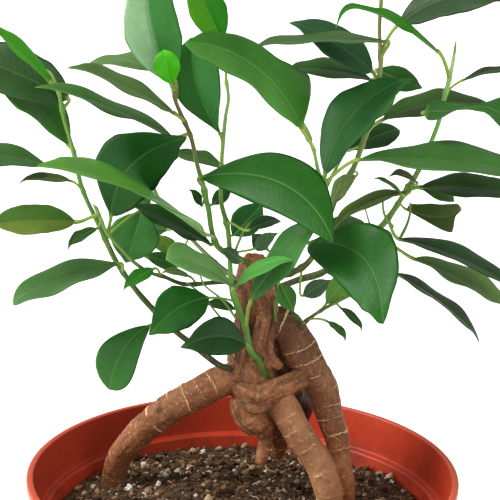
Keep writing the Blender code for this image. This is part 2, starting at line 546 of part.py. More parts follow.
    # the soil is open where each root goes down into it
    for key in ("left", "right", "centre", "behind"):
        points, radii = ROOTS[key]
        path = smooth_path(points, 4.0)
        run = np.concatenate([[0], np.cumsum(np.linalg.norm(np.diff(np.array(points, float), axis=0), axis=1))])
        fine = np.interp(np.linspace(0, run[-1], len(path)), run, radii) + 1.5
        low = [i for i in range(len(path)) if path[i][2] < POT_HEIGHT - 4.0]
        path, fine = path[low[0]:], fine[low[0]:]
        end = path[-1] + unit(path[-1] - path[-2]) * 1.6
        path = np.vstack([path, end])
        fine = np.concatenate([fine, [fine[-1]]])
        hole = as_cutter(as_mesh(tube_curve("cut_root_" + key, path, fine, 3), cutters), cutters)
        boolean(soil, hole, "DIFFERENCE", "root_" + key)

    # shoots, with the smallest leaves grown on to them
    leaves = {name: leaf_from_row(row[:-1], SHOOTS, name.startswith("small")) for name, row in LEAVES.items()}
    for key, (foot_r, tip_r, points, title) in SHOOTS.items():
        shoot = shoot_tube(title, key, cutters)
        place(shoot, tree, green_wood, smooth=60)
        for name, leaf in leaves.items():
            if leaf["shoot"] != key or not name.startswith("small"):
                continue
            points_, faces = leaf_shell(leaf, 3, (0.0, 0.2, 0.5, 0.8, 1.0))
            part = from_shell("join_" + name, points_, faces)
            cutters.objects.link(part)
            as_cutter(part, cutters)
            boolean(shoot, part, "UNION", name)

    # leaves: blade and stalk in one
    for name, leaf in leaves.items():
        if name.startswith("small"):
            continue
        points_, faces = leaf_shell(leaf)
        blade = from_shell(name, points_, faces)
        place(blade, tree, tones[LEAVES[name][-1]], smooth=50)


main()
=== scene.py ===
"""The looks of the potted bonsai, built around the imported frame. Tables are in millimetres and degrees."""
import json
import math

import bpy
import numpy as np
from mathutils import Matrix, Vector
from mathutils.kdtree import KDTree

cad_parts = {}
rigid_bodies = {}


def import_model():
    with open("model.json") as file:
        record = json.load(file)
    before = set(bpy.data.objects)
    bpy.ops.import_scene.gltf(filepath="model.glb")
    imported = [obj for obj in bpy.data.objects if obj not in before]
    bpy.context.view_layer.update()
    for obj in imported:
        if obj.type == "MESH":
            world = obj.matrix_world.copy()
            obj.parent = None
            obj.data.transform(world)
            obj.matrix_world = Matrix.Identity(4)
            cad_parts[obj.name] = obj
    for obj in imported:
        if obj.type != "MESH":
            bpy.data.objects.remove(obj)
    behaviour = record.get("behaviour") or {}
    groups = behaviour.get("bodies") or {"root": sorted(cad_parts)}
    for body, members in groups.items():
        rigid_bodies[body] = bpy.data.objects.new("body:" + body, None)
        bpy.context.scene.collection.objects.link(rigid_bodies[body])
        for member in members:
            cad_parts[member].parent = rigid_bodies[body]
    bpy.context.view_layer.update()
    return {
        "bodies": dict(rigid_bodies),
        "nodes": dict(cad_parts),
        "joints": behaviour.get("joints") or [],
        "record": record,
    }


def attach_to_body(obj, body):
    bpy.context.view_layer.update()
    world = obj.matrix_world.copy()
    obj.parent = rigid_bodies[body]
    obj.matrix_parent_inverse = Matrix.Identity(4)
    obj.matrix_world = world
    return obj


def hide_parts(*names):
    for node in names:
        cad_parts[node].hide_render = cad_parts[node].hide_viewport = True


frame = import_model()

MM = 0.001
POT_HEIGHT = 125.0
STALK_R = 0.6
BLADE_THICK = 0.9
PI = math.pi

# shoots: foot radius, tip radius, the points that the stem passes through from its foot, and its name
SHOOTS = {
    "A": (1.25, 0.7, [
        (2, 9, 196), (-2, 6, 198), (-6, 5, 200), (-10, 4, 203), (-12, 2, 209), (-13, 1, 216), (-14, 1, 220),
        (-15, 0, 225), (-17, -1, 232), (-19, -2, 241), (-22, -3, 248), (-24, -4, 253), (-24, -4, 256),], "shoot_centre"),
    "B": (1.35, 0.65, [
        (8, 6, 154), (5, 2, 163), (2, 1, 167), (0, 0, 176), (-3, -1, 184), (-5, -2, 191), (-6, -1, 206),
        (-7, 1, 212), (-9, 4, 219), (-9, 5, 231), (-8, 6, 246), (-7, 6, 253), (-8, 6, 260),], "shoot_front"),
    "E": (1.35, 0.7, [
        (6, 9, 189), (10, 7, 192), (15, 4, 194), (20, 0, 198), (23, -3, 203), (26, -4, 209), (27, -3, 215),
        (31, -1, 225), (35, 1, 231), (38, 3, 239), (41, 4, 249), (42, 4, 257), (43, 3, 265), (42, 2, 277),
        (42, 0, 286), (42, -1, 293),], "shoot_right"),
    "D": (0.95, 0.6, [
        (26, -6, 218), (26, -8, 222), (25, -9, 228), (23, -10, 231), (21, -12, 239), (20, -12, 241), (19, -13, 250),], "twig_right"),
    "F": (1.55, 0.75, [
        (6, 15, 183), (12, 16, 186), (19, 16, 189), (27, 15, 192), (36, 13, 200), (43, 12, 206), (48, 10, 212),
        (53, 8, 221), (56, 6, 227), (59, 5, 234), (63, 4, 246), (64, 4, 252), (66, 4, 261), (67, 4, 268),], "shoot_far_right"),
    "G": (1.35, 0.7, [
        (-2, 9, 157), (-9, 6, 160), (-17, 4, 167), (-25, 2, 174), (-34, 0, 184), (-39, -2, 191), (-44, -3, 199),
        (-49, -3, 210), (-55, -2, 223), (-58, 0, 235), (-61, 1, 245), (-62, 2, 249), (-63, 3, 254), (-65, 4, 259),], "shoot_left"),
    "G2": (0.95, 0.6, [
        (-1, 8, 189), (-6, 6, 190), (-11, 5, 190), (-21, 2, 190), (-28, 0, 193), (-33, -2, 195), (-38, -7, 200),
        (-42, -9, 205), (-46, -10, 210), (-49, -10, 217),], "shoot_left_inner"),
    "H": (0.9, 0.55, [
        (19, 8, 174), (24, 6, 179), (31, 4, 184), (38, 3, 188),], "twig_low_right"),
    "I": (0.75, 0.5, [
        (11, 8, 174), (10, 5, 181), (11, 3, 186),], "twig_low"),
    "J": (1.25, 0.7, [
        (1, 17, 180), (-3, 26, 185), (-12, 36, 190), (-21, 44, 197), (-31, 50, 207), (-37, 54, 216),], "shoot_back_left"),
    "K": (1.25, 0.7, [
        (6, 18, 178), (11, 26, 186), (18, 36, 197), (26, 44, 211), (32, 50, 222), (38, 54, 234),], "shoot_back_right"),
}

# rootstock: the middle line and radii of the trunk, the bulb and each root
ROOTS = {
    "trunk": (
        [(4, 12, 198), (3, 12, 193), (3, 12, 186), (4, 12, 175), (2, 12, 166), (3, 12, 156), (5, 12, 148), (6, 12, 141), (7, 12, 136)],
        [4.2, 6.0, 6.8, 7.2, 7.4, 8.6, 8.8, 7.0, 5.0]),
    "left": (
        [(0, 12, 154), (-8, 12, 152), (-16, 13, 147), (-25, 16, 141), (-33, 19, 134), (-39, 22, 127), (-45, 25, 119), (-48, 27, 112), (-50, 28, 102), (-51, 29, 93), (-51, 30, 86)],
        [5.6, 5.6, 5.6, 5.6, 5.4, 5.2, 4.8, 4.5, 4.0, 3.0, 2.2]),
    "right": (
        [(6, 13, 174), (14, 12, 173), (20, 11, 164), (24, 10, 157), (28, 9, 150), (30, 8, 143), (33, 7, 134), (35, 6, 125), (37, 5, 118), (38, 5, 110), (38, 5, 103), (39, 5, 97)],
        [5.4, 6.2, 6.3, 6.0, 5.4, 5.0, 4.3, 3.5, 2.9, 2.5, 2.2, 1.8]),
    "centre": (
        [(8, 11, 150), (13, 8, 146), (16, 6, 141), (21, 5, 133), (26, 4, 126), (29, 3, 119), (31, 3, 111), (32, 3, 103), (32, 3, 96)],
        [6.0, 5.2, 5.2, 5.2, 5.0, 4.9, 4.7, 4.0, 3.0]),
    "band": (
        [(-2, 10, 152), (1, 6, 151), (5, 4, 150), (10, 4, 152), (15, 4, 154), (22, 8, 156)],
        [3.6, 4.0, 4.0, 3.8, 3.6, 3.6]),
    "bulge": (
        [(1, 9, 147), (2, 8, 142), (6, 9, 137)],
        [5.6, 6.2, 5.0]),
    "behind": (
        [(10, 13, 148), (17, 17, 145), (22, 22, 141), (21, 29, 130), (24, 35, 115), (27, 38, 103)],
        [4.6, 4.2, 3.8, 3.2, 2.4, 2.0]),
    "web": (
        [(10, 15, 175), (13, 15, 168), (14, 15, 160), (15, 14, 153), (16, 13, 147)],
        [4.0, 5.2, 5.6, 5.2, 4.2]),
    "stub_a": (
        [(7, 11, 139), (8, 10, 132), (7, 9, 126), (6, 9, 122)],
        [4.0, 2.7, 2.5, 1.8]),
    "stub_b": (
        [(9, 14, 137), (13, 15, 128), (12, 15, 122)],
        [4.0, 2.9, 2.0]),
}

# how far up each shoot the rootstock should be opened to hold its foot; nothing in this script reads this table
SOCKETS = {"A": 20, "B": 14, "E": 18, "F": 18, "G": 18, "G2": 18, "H": 10, "I": 10, "J": 16, "K": 18}

# leaves: shoot, distance of the stalk's node from the shoot's foot; stalk heading, pitch and length; blade
# heading, pitch, length, width and roll; arch, fold and bow of the blade; outline and tone
LEAVES = {
    "leaf_01": ("A", 56, -162, -8, 6, -164, 22, 47, 22, -10, 3, 10, 0, "oval", "green"),
    "leaf_02": ("A", 60, -135, 37, 6, -147, 24, 40, 19, -23, 3, 12, 0, "oval", "green"),
    "leaf_03": ("A", 69, 128, 46, 11, 157, 0, 31, 15, -15, 10, 10, 0, "oval", "green"),
    "leaf_04": ("A", 70, 178, 73, 4, -151, 78, 41, 20, -85, 4, 14, 12, "oval", "green"),
    "leaf_05": ("A", 36, -95, 35, 10, -38, -14, 54, 26, 26, 8, 8, 15, "oval", "green"),
    "leaf_06": ("A", 18, -101, 19, 18, -144, 25, 64, 31, -12, 6, 12, 0, "oval", "green"),
    "leaf_07": ("A", 17, -140, -18, 2, -175, 27, 31, 15, -17, 2, 14, 0, "oval", "green"),
    "leaf_08": ("B", 82, -112, 82, 11, -159, 72, 33, 16, -107, 4, 12, 8, "round", "green"),
    "leaf_09": ("B", 110, -128, 79, 14, -159, 63, 24, 12, -106, 4, 24, 0, "oval", "young"),
    "leaf_10": ("B", 34, -163, 13, 10, -143, -21, 25, 15, -61, 3, 10, -10, "oval", "green"),
    "leaf_11": ("B", 38, -92, 34, 7, -138, 27, 30, 15, -37, 6, 16, 0, "round", "green"),
    "leaf_12": ("B", 24, -83, 45, 19, -38, 50, 38, 18, 69, 4, 8, 0, "oval", "green"),
    "leaf_13": ("B", 36, -89, 31, 13, -41, 30, 27, 13, 41, 8, 14, 0, "oval", "green"),
    "leaf_14": ("B", 15, -105, 34, 9, -143, 7, 26, 13, -74, 6, 14, -12, "oval", "green"),
    "leaf_15": ("E", 95, -83, 42, 9, -167, -2, 44, 21, -7, 2, 10, 0, "oval", "green"),
    "leaf_16": ("E", 82, 113, 71, 9, -173, 30, 32, 15, -50, 6, 14, 0, "broad", "green"),
    "leaf_17": ("E", 85, 99, 19, 7, -165, 6, 31, 15, -22, 6, 12, 0, "oval", "green"),
    "leaf_18": ("E", 97, 39, 49, 12, -19, 14, 36, 17, 50, 6, 12, 12, "oval", "green"),
    "leaf_19": ("E", 69, 59, 18, 13, 3, 7, 40, 19, 18, 10, 12, 0, "oval", "green"),
    "leaf_20": ("E", 27, -107, 25, 10, -59, -23, 43, 23, 47, 4, 10, 21, "round", "green"),
    "leaf_21": ("D", 23, -129, 47, 10, -134, 30, 56, 27, -64, 6, 18, -9, "round", "green"),
    "leaf_22": ("D", 10, 91, 70, 3, 9, 49, 42, 20, 33, 5, 12, 15, "oval", "green"),
    "leaf_23": ("D", 10, -17, 38, 14, -12, -3, 57, 27, 13, 4, 14, 0, "obovate", "green"),
    "leaf_24": ("F", 106, -128, 46, 13, -158, 13, 37, 18, -28, 8, 14, 0, "broad", "young"),
    "leaf_25": ("F", 95, -125, 1, 12, -8, -10, 43, 21, 29, 8, 12, 0, "oval", "green"),
    "leaf_26": ("F", 64, -19, 26, 6, -13, -2, 35, 17, 19, 4, 14, 0, "oval", "green"),
    "leaf_27": ("F", 60, 55, -27, 7, 26, -2, 24, 11, 56, 2, 12, -16, "broad", "olive"),
    "leaf_28": ("F", 67, -103, -12, 6, -171, -25, 28, 13, -5, 10, 16, 0, "oval", "olive"),
    "leaf_29": ("F", 53, -24, -55, 8, -17, -20, 44, 21, 2, 6, 14, 0, "oval", "green"),
    "leaf_30": ("F", 45, 0, -29, 17, -13, -24, 39, 19, 8, 4, 14, 0, "oval", "olive"),
    "leaf_31": ("F", 35, -4, -23, 18, -22, -33, 37, 18, -6, 4, 14, 0, "oval", "green"),
    "leaf_32": ("G", 121, -159, 52, 5, -157, 43, 28, 13, -27, 2, 18, 0, "oval", "young"),
    "leaf_33": ("G", 115, 63, 49, 5, 171, 21, 42, 20, -48, 4, 8, 0, "round", "green"),
    "leaf_34": ("G", 101, 121, 20, 5, 155, 32, 39, 19, -9, 8, 12, -6, "oval", "olive"),
    "leaf_35": ("G", 97, -160, -1, 10, -160, 6, 35, 17, -20, 6, 12, 0, "oval", "green"),
    "leaf_36": ("G", 70, 44, 25, 17, -130, -66, 18, 17, -45, 4, 10, 0, "oval", "green"),
    "leaf_37": ("G", 34, -142, -5, 6, -132, -44, 26, 14, -47, 4, 8, -12, "blunt", "green"),
    "leaf_38": ("G", 57, -101, 42, 6, -162, -17, 37, 18, -13, 5, 12, 0, "blunt", "green"),
    "leaf_39": ("G2", 56, 87, 41, 8, -23, 45, 39, 22, 104, 4, 12, 17, "oval", "green"),
    "leaf_40": ("G2", 63, -165, -15, 8, -159, 1, 28, 13, -40, 5, 20, 0, "oval", "olive"),
    "leaf_41": ("J", 64, 111, 38, 6, 132, 15, 26, 12, -40, 6, 12, 0, "oval", "green"),
    "leaf_42": ("J", 66, 63, 55, 6, 75, 19, 23, 11, 12, 6, 12, 0, "oval", "green"),
    "leaf_43": ("J", 55, 137, -7, 9, 126, 0, 29, 14, -21, 8, 12, 0, "oval", "green"),
    "leaf_44": ("K", 73, 65, 40, 5, 40, 31, 27, 13, 11, 6, 12, 0, "oval", "green"),
    "leaf_45": ("K", 47, 65, -49, 13, 46, -32, 46, 22, 52, 8, 12, 0, "oval", "green"),
    "leaf_46": ("K", 53, 125, -2, 14, 131, 3, 34, 16, -15, 8, 12, 0, "oval", "green"),
    "small_01": ("A", 71, -100, 26, 7, -107, 60, 12, 8, -155, 4, 16, 0, "round", "young"),
    "small_02": ("A", 6, -88, 6, 8, -137, 34, 10, 5, -75, 6, 12, 0, "round", "green"),
    "small_03": ("A", 36, 75, -35, 11, 27, 38, 9, 5, 66, 6, 12, 0, "oval", "green"),
    "small_04": ("A", 34, 136, -61, 4, -155, 56, 7, 4, -62, 6, 12, 0, "oval", "green"),
    "small_05": ("B", 80, 88, 6, 4, 158, 12, 20, 10, -16, 6, 12, 0, "oval", "olive"),
    "small_06": ("B", 32, 112, -22, 3, -165, 13, 11, 5, -35, 6, 12, 0, "oval", "green"),
    "small_07": ("B", 62, -63, 3, 17, 45, 6, 15, 7, 17, 6, 12, 0, "oval", "green"),
    "small_08": ("B", 62, 87, -19, 33, 2, 48, 16, 11, 81, 6, 12, 0, "oval", "green"),
    "small_09": ("B", 51, 39, 6, 11, -27, 37, 10, 5, 82, 6, 12, 0, "oval", "green"),
    "small_10": ("E", 89, 88, 15, 7, -16, -20, 16, 8, 83, 2, 12, 0, "oval", "green"),
    "small_11": ("E", 65, 108, -14, 10, 36, 15, 24, 12, 29, 6, 10, 0, "oval", "green"),
    "small_12": ("E", 56, 73, -18, 8, 128, -41, 17, 8, -78, 6, 12, 0, "oval", "olive"),
    "small_13": ("E", 17, 72, -74, 11, -13, 34, 11, 6, 83, 6, 12, 0, "oval", "green"),
    "small_14": ("E", 12, 149, 36, 12, -159, 45, 8, 6, -97, 6, 12, 0, "oval", "green"),
    "small_15": ("F", 101, 0, 39, 7, -12, 14, 19, 9, 13, 6, 8, 0, "oval", "green"),
    "small_16": ("F", 67, 33, -12, 6, 24, -19, 15, 7, 50, 6, 12, 0, "oval", "green"),
    "small_17": ("F", 67, -81, 19, 9, -145, 18, 12, 6, -31, 10, 12, 0, "oval", "green"),
    "small_18": ("F", 64, -102, 9, 11, -173, 31, 11, 5, -17, 6, 12, 0, "oval", "green"),
    "small_19": ("G", 87, -154, 44, 6, -159, 3, 17, 8, -15, 6, 12, 0, "oval", "olive"),
    "small_20": ("G2", 61, -121, -46, 3, -146, -25, 12, 6, -15, 6, 16, 0, "oval", "green"),
    "small_21": ("G2", 30, -116, 36, 6, -141, -22, 13, 6, -28, 6, 12, 0, "oval", "young"),
    "small_22": ("G2", 17, -150, 49, 4, -158, 15, 10, 5, -23, 6, 12, 0, "oval", "olive"),
    "small_23": ("H", 10, 55, 27, 4, 35, 43, 14, 8, 51, 6, 12, 0, "oval", "olive"),
    "small_24": ("H", 16, -54, -22, 3, -25, -39, 11, 5, 10, 6, 12, 0, "oval", "green"),
    "small_25": ("H", 4, -37, 7, 8, -43, -28, 10, 5, -1, 8, 12, 0, "oval", "green"),
    "small_26": ("H", 2, -98, 21, 4, -139, 31, 7, 3, -49, 6, 12, 0, "oval", "green"),
    "small_27": ("I", 12, -77, 61, 7, -54, -45, 11, 7, 39, 4, 12, 0, "oval", "green"),
    "small_28": ("J", 40, -100, -2, 19, -177, 23, 11, 6, -78, 6, 12, 0, "round", "green"),
    "small_29": ("J", 25, -139, 4, 18, -150, 22, 13, 6, -64, 6, 12, 0, "round", "green"),
    "small_30": ("J", 46, 111, -16, 16, 132, -16, 28, 13, -54, 8, 12, 0, "oval", "green"),
    "small_31": ("K", 42, 121, -8, 9, 131, 10, 30, 14, -12, 8, 12, 0, "oval", "green"),
}

# colour of each leaf, as 0-255 sRGB: partly the leaf's own green, partly painted light and shade, with leaves that
# light shines through painted paler and painted sheen greying some
TONES = {
    "leaf_01": (75, 125, 45), "leaf_02": (95, 125, 60), "leaf_03": (105, 135, 80), "leaf_04": (84, 152, 78),
    "leaf_05": (38, 96, 26), "leaf_06": (108, 162, 70), "leaf_07": (38, 85, 32), "leaf_08": (68, 136, 70),
    "leaf_09": (40, 134, 0), "leaf_10": (35, 100, 35), "leaf_11": (145, 182, 120), "leaf_12": (70, 120, 64),
    "leaf_13": (88, 155, 76), "leaf_14": (35, 75, 35), "leaf_15": (75, 105, 55), "leaf_16": (52, 92, 60),
    "leaf_17": (60, 100, 40), "leaf_18": (52, 76, 48), "leaf_19": (55, 88, 32), "leaf_20": (40, 98, 36),
    "leaf_21": (62, 120, 38), "leaf_22": (55, 105, 55), "leaf_23": (68, 115, 52), "leaf_24": (52, 130, 18),
    "leaf_25": (60, 105, 50), "leaf_26": (55, 85, 38), "leaf_27": (85, 100, 50), "leaf_28": (112, 125, 55),
    "leaf_29": (50, 90, 40), "leaf_30": (135, 165, 95), "leaf_31": (66, 90, 52), "leaf_32": (78, 170, 12),
    "leaf_33": (58, 86, 50), "leaf_34": (80, 140, 50), "leaf_35": (75, 110, 65), "leaf_36": (85, 140, 80),
    "leaf_37": (65, 120, 60), "leaf_38": (84, 122, 70), "leaf_39": (32, 84, 30), "leaf_40": (85, 120, 52),
    "leaf_41": (55, 100, 48), "leaf_42": (50, 98, 45), "leaf_43": (48, 92, 42), "leaf_44": (52, 98, 46),
    "leaf_45": (46, 92, 44), "leaf_46": (55, 105, 50), "small_01": (82, 188, 20), "small_02": (80, 105, 80),
    "small_03": (50, 92, 44), "small_04": (50, 90, 46), "small_05": (85, 118, 60), "small_06": (75, 115, 65),
    "small_07": (50, 95, 48), "small_08": (46, 98, 48), "small_09": (95, 125, 90), "small_10": (60, 105, 45),
    "small_11": (40, 75, 40), "small_12": (90, 118, 55), "small_13": (80, 105, 80), "small_14": (58, 104, 54),
    "small_15": (40, 70, 35), "small_16": (72, 105, 50), "small_17": (95, 100, 70), "small_18": (85, 125, 45),
    "small_19": (80, 100, 45), "small_20": (50, 90, 40), "small_21": (55, 130, 35), "small_22": (120, 140, 80),
    "small_23": (110, 150, 70), "small_24": (60, 95, 45), "small_25": (80, 115, 60), "small_26": (90, 110, 55),
    "small_27": (70, 120, 50), "small_28": (118, 148, 66), "small_29": (66, 120, 55), "small_30": (60, 105, 50),
    "small_31": (50, 95, 45),
}
# colour of the other half of a blade, where its halves differ: painted light and shade, one half of a folded blade
# painted lit and the other shaded, with painted sheen on some
HALF_LIGHT_SHADE = {"leaf_04": (188, 217, 184), "leaf_08": (32, 102, 26), "leaf_09": (85, 155, 22), "leaf_21": (80, 135, 55), "leaf_39": (34, 88, 34), "leaf_40": (115, 130, 60), "leaf_10": (45, 105, 42)}
# shaped blades: rows of u, half widths and sway over half the blade's width; how far each half hangs, in degrees
SHAPES = {
    "leaf_21": (((0, 0.03, 0.03, 0), (0.03, 0.12, 0.9, 0), (0.07, 0.24, 1.28, 0), (0.13, 0.34, 1.2, 0), (0.2, 0.44, 0.98, 0), (0.3, 0.5, 0.76, 0), (0.42, 0.54, 0.56, 0), (0.58, 0.52, 0.58, 0), (0.72, 0.5, 0.54, 0), (0.84, 0.42, 0.42, 0), (0.94, 0.32, 0.35, 0), (1, 0.06, 0.06, 0)), (28, 0)),
    "leaf_24": (((0, 0.06, 0.06, 0), (0.14, 0.25, 0.25, -0.2), (0.3, 0.62, 0.62, -0.7), (0.42, 0.74, 0.74, -0.8), (0.5, 0.5, 0.5, -0.95), (0.57, 0.26, 0.26, -1.1), (0.67, 0.16, 0.16, -1.2), (0.8, 0.18, 0.18, -1.25), (0.91, 0.15, 0.15, -0.8), (1, 0.03, 0.03, 0)), (0, 0)),
    "leaf_25": (((0, 0.15, 0.15, 0), (0.03, 0.55, 0.55, 0.05), (0.08, 0.6, 0.6, 0.05), (0.14, 0.46, 0.46, 0.05), (0.23, 0.19, 0.19, 0.25), (0.32, 0.09, 0.09, 0.35), (0.38, 0.2, 0.2, 0.45), (0.45, 0.35, 0.35, 0.5), (0.57, 0.9, 0.9, 0.25), (0.7, 1, 1, 0), (0.85, 0.7, 0.7, 0), (1, 0.03, 0.03, 0)), (0, 0)),
    "leaf_27": (((0, 0.05, 0.05, 0), (0.07, 0.5, 0.12, 0), (0.23, 0.75, 0.37, 0), (0.4, 0.95, 0.7, 0), (0.55, 0.92, 1, 0), (0.66, 0.85, 1.1, 0), (0.72, 0.8, 0.65, 0), (0.8, 0.68, 0.2, 0), (0.9, 0.5, 0.1, 0), (1, 0.03, 0.03, 0)), (0, 0)),
    "leaf_08": (((0, 0.04, 0.04, 0), (0.08, 0.14, 0.14, 0), (0.15, 0.29, 0.29, 0), (0.27, 0.55, 0.55, 0), (0.4, 0.82, 0.82, 0), (0.58, 1, 1, 0), (0.75, 0.97, 0.97, 0), (0.88, 0.75, 0.75, 0), (0.96, 0.4, 0.4, 0), (1, 0.06, 0.06, 0)), (0, 0)),
    "leaf_12": (((0, 0.04, 0.04, 0), (0.12, 0.3, 0.3, 0), (0.3, 0.55, 0.55, 0), (0.5, 0.72, 0.72, 0), (0.7, 0.72, 0.72, 0), (0.86, 0.52, 0.52, 0), (0.95, 0.26, 0.26, 0), (1, 0.05, 0.05, 0)), (0, 0)),
    "leaf_13": (((0, 0.05, 0.06, 0), (0.2, 0.34, 0.55, 0), (0.45, 0.5, 0.8, 0), (0.7, 0.45, 0.72, 0), (0.88, 0.26, 0.42, 0), (1, 0.04, 0.05, 0)), (0, 0)),
    "small_01": (((0, 0.05, 0.05, 0), (0.2, 0.6, 0.6, 0), (0.45, 0.95, 0.95, 0), (0.7, 1.05, 1.05, 0), (0.88, 0.8, 0.8, 0), (0.97, 0.5, 0.5, 0), (1, 0.05, 0.05, 0)), (0, 0)),
    "leaf_37": (((0, 0.04, 0.04, 0), (0.1, 0.28, 0.28, 0), (0.25, 0.55, 0.55, 0), (0.45, 0.85, 0.85, 0), (0.65, 1.02, 1.02, 0), (0.82, 0.95, 0.95, 0), (0.93, 0.66, 0.66, 0), (0.985, 0.3, 0.3, 0), (1, 0.06, 0.06, 0)), (0, 0)),
    "leaf_38": (((0, 0.04, 0.04, 0), (0.1, 0.4, 0.4, 0), (0.25, 0.75, 0.75, 0), (0.45, 0.98, 0.98, 0), (0.65, 1, 1, 0), (0.82, 0.8, 0.8, 0), (0.93, 0.55, 0.55, 0), (0.985, 0.26, 0.26, 0), (1, 0.06, 0.06, 0)), (0, 0)),
    "leaf_11": (((0, 0.04, 0.04, 0), (0.1, 0.35, 0.35, 0), (0.3, 0.7, 0.7, 0), (0.5, 0.85, 0.85, 0), (0.7, 1, 1, 0), (0.85, 0.95, 0.95, 0), (0.94, 0.68, 0.68, 0), (0.985, 0.34, 0.34, 0), (1, 0.06, 0.06, 0)), (0, 0)),
    "leaf_05": (((0, 0.06, 0.06, 0), (0.05, 0.5, 0.22, 0), (0.12, 0.78, 0.42, 0), (0.25, 0.95, 0.64, 0), (0.45, 0.99, 0.78, 0), (0.62, 0.86, 0.74, 0), (0.75, 0.7, 0.62, 0), (0.88, 0.42, 0.4, 0), (1, 0.04, 0.04, 0)), (0, 20)),
}
# colour along each shoot, as 0-255 sRGB at parts of its length
STEM_TONES = {
    "A": ((0, 72, 92, 36), (0.25, 84, 140, 42), (0.5, 92, 152, 48), (0.68, 104, 120, 52), (0.85, 108, 92, 48), (1, 112, 104, 58)),
    "B": ((0, 58, 92, 30), (0.3, 86, 150, 44), (0.55, 92, 142, 50), (0.8, 116, 160, 74), (1, 146, 180, 104)),
    "E": ((0, 66, 66, 34), (0.3, 84, 98, 44), (0.5, 104, 130, 58), (0.7, 122, 156, 88), (0.85, 132, 116, 66), (1, 108, 156, 62)),
    "F": ((0, 58, 60, 30), (0.35, 84, 112, 44), (0.6, 112, 150, 62), (0.8, 98, 160, 58), (1, 158, 196, 124)),
    "G": ((0, 58, 58, 32), (0.25, 62, 78, 34), (0.5, 72, 112, 40), (0.75, 92, 146, 52), (1, 118, 160, 72)),
    "G2": ((0, 52, 54, 30), (0.4, 72, 92, 40), (1, 124, 158, 76)),
    "D": ((0, 84, 106, 48), (0.5, 100, 150, 58), (1, 118, 166, 72)),
    "H": ((0, 62, 70, 34), (1, 92, 128, 52)),
    "I": ((0, 70, 100, 40), (1, 100, 140, 56)),
    "J": ((0, 62, 70, 34), (1, 92, 132, 52)),
    "K": ((0, 62, 70, 34), (1, 92, 132, 52)),
}
# strands raised on the trunk: points and radii
STRANDS = {
    "strand_a": ([(4.2, 6.5, 185.1), (6.0, 5.0, 179.8), (5.4, 4.2, 173.5), (4.1, 4.2, 168.1), (6.0, 5.0, 163.2), (8.8, 5.0, 160.3)], [1.8, 2.3, 2.5, 2.4, 2.0, 1.4]),
    "strand_b": ([(-1.1, 7.0, 186.3), (-0.9, 6.0, 178.3), (0.3, 5.5, 169.4), (-1.0, 6.0, 162.0), (-2.3, 8.0, 154.7)], [1.6, 2.0, 2.2, 2.2, 2.0]),
    "strand_c": ([(9.1, 9.0, 183.1), (9.6, 8.5, 176.0), (8.0, 7.0, 169.1), (8.8, 6.5, 163.5), (12.4, 7.0, 159.0)], [1.4, 1.8, 2.0, 1.8, 1.4]),
    "strand_d": ([(-0.8, 5.0, 146.8), (3.5, 2.5, 145.6), (7.7, 3.0, 146.6), (11.1, 4.0, 148.9)], [1.8, 2.0, 2.0, 1.8]),
}
# brightness of each root's bark at its foot and tip, mostly painted light and shade: the centre root painted lit, the
# right root's foot, the web and the behind root painted in shade
ROOT_LIGHT_SHADE = {"centre": (1.45, 2.15), "right": (0.38, 1.3), "left": (0.95, 1.15), "bulge": (1.3, 1.3), "band": (1.2, 1.0), "web": (0.45, 0.45), "behind": (0.45, 0.4), "stub_a": (1.0, 1.25), "stub_b": (0.75, 0.85)}
# bare twigs and long stalks: radius and points
SPRIGS = [
    (0.5, [(50, 8, 210), (47, 7, 214), (46, 6, 218), (46, 6, 221)]),
    (0.35, [(43, 11, 208), (42, 10, 211), (40, 9, 217)]),
    (0.55, [(53, 12, 205), (55, 11, 210), (56, 11, 214), (56, 11, 218)]),
    (0.45, [(-5, -2, 199), (-3, -1, 205), (0, 1, 211), (5, 4, 214)]),
    (0.42, [(-3, -2, 179), (-8, -3, 186), (-14, -3, 191), (-16, -3, 196)]),
    (0.4, [(0, 0, 171), (-8, -2, 179), (-15, -4, 188), (-20, -4, 192)]),
    (0.42, [(-2, 10, 160), (-5, 4, 164), (-11, -3, 173), (-15, -6, 178)]),
]
ROOT_FINE = 0.5
KNOT = (-30, 13, 140)
TRUNK_TOP = 198.8
# where a stem's foot runs on inside its parent
FOOT = {"D": (27, -3, 215), "I": (12, 13, 170), "H": (19, 11, 171)}
# bud at a shoot's tip: length, half width, lean
BUD_WITHIN = ("D",)
BUDS = {"A": (5.5, 0.95, 0.5), "D": (9.0, 1.1, -0.4), "E": (6.0, 0.9, 0.4), "F": (6.5, 0.5, 0.3), "G": (4.0, 0.6, 1.4), "G2": (3.0, 0.7, 0.5),
        "J": (5.0, 0.9, 0.3), "K": (5.0, 0.9, 0.3), "H": (3.0, 0.6, 0.2), "I": (3.0, 0.6, 0.2)}
CAM_AT, CAM_PITCH, CAM_ROLL = (1.1, -395.7, 291.2), 12.59, 1.02
WORLD_LIGHT = 0.42
FLOOR_GLOW = 0.5
# sun lamps: heading and height of the light's source, strength, softness in degrees, colour
KEY = (-155, 55, 2.35, 24, (1.0, 0.98, 0.94))
LOW = (-172, 24, 2.0, 30, (1.0, 0.98, 0.95))
FILL = (-50, 35, 0.7, 40, (0.97, 0.98, 1.0))


# ---- shape rules ----

def unit(v):
    v = np.asarray(v, float)
    return v / max(1e-12, math.sqrt(float(v @ v)))


def heading_pitch(heading, pitch):
    """Unit vector: heading in degrees from +X towards +Y, pitch in degrees above level."""
    h, p = math.radians(heading), math.radians(pitch)
    return np.array([math.cos(h) * math.cos(p), math.sin(h) * math.cos(p), math.sin(p)])


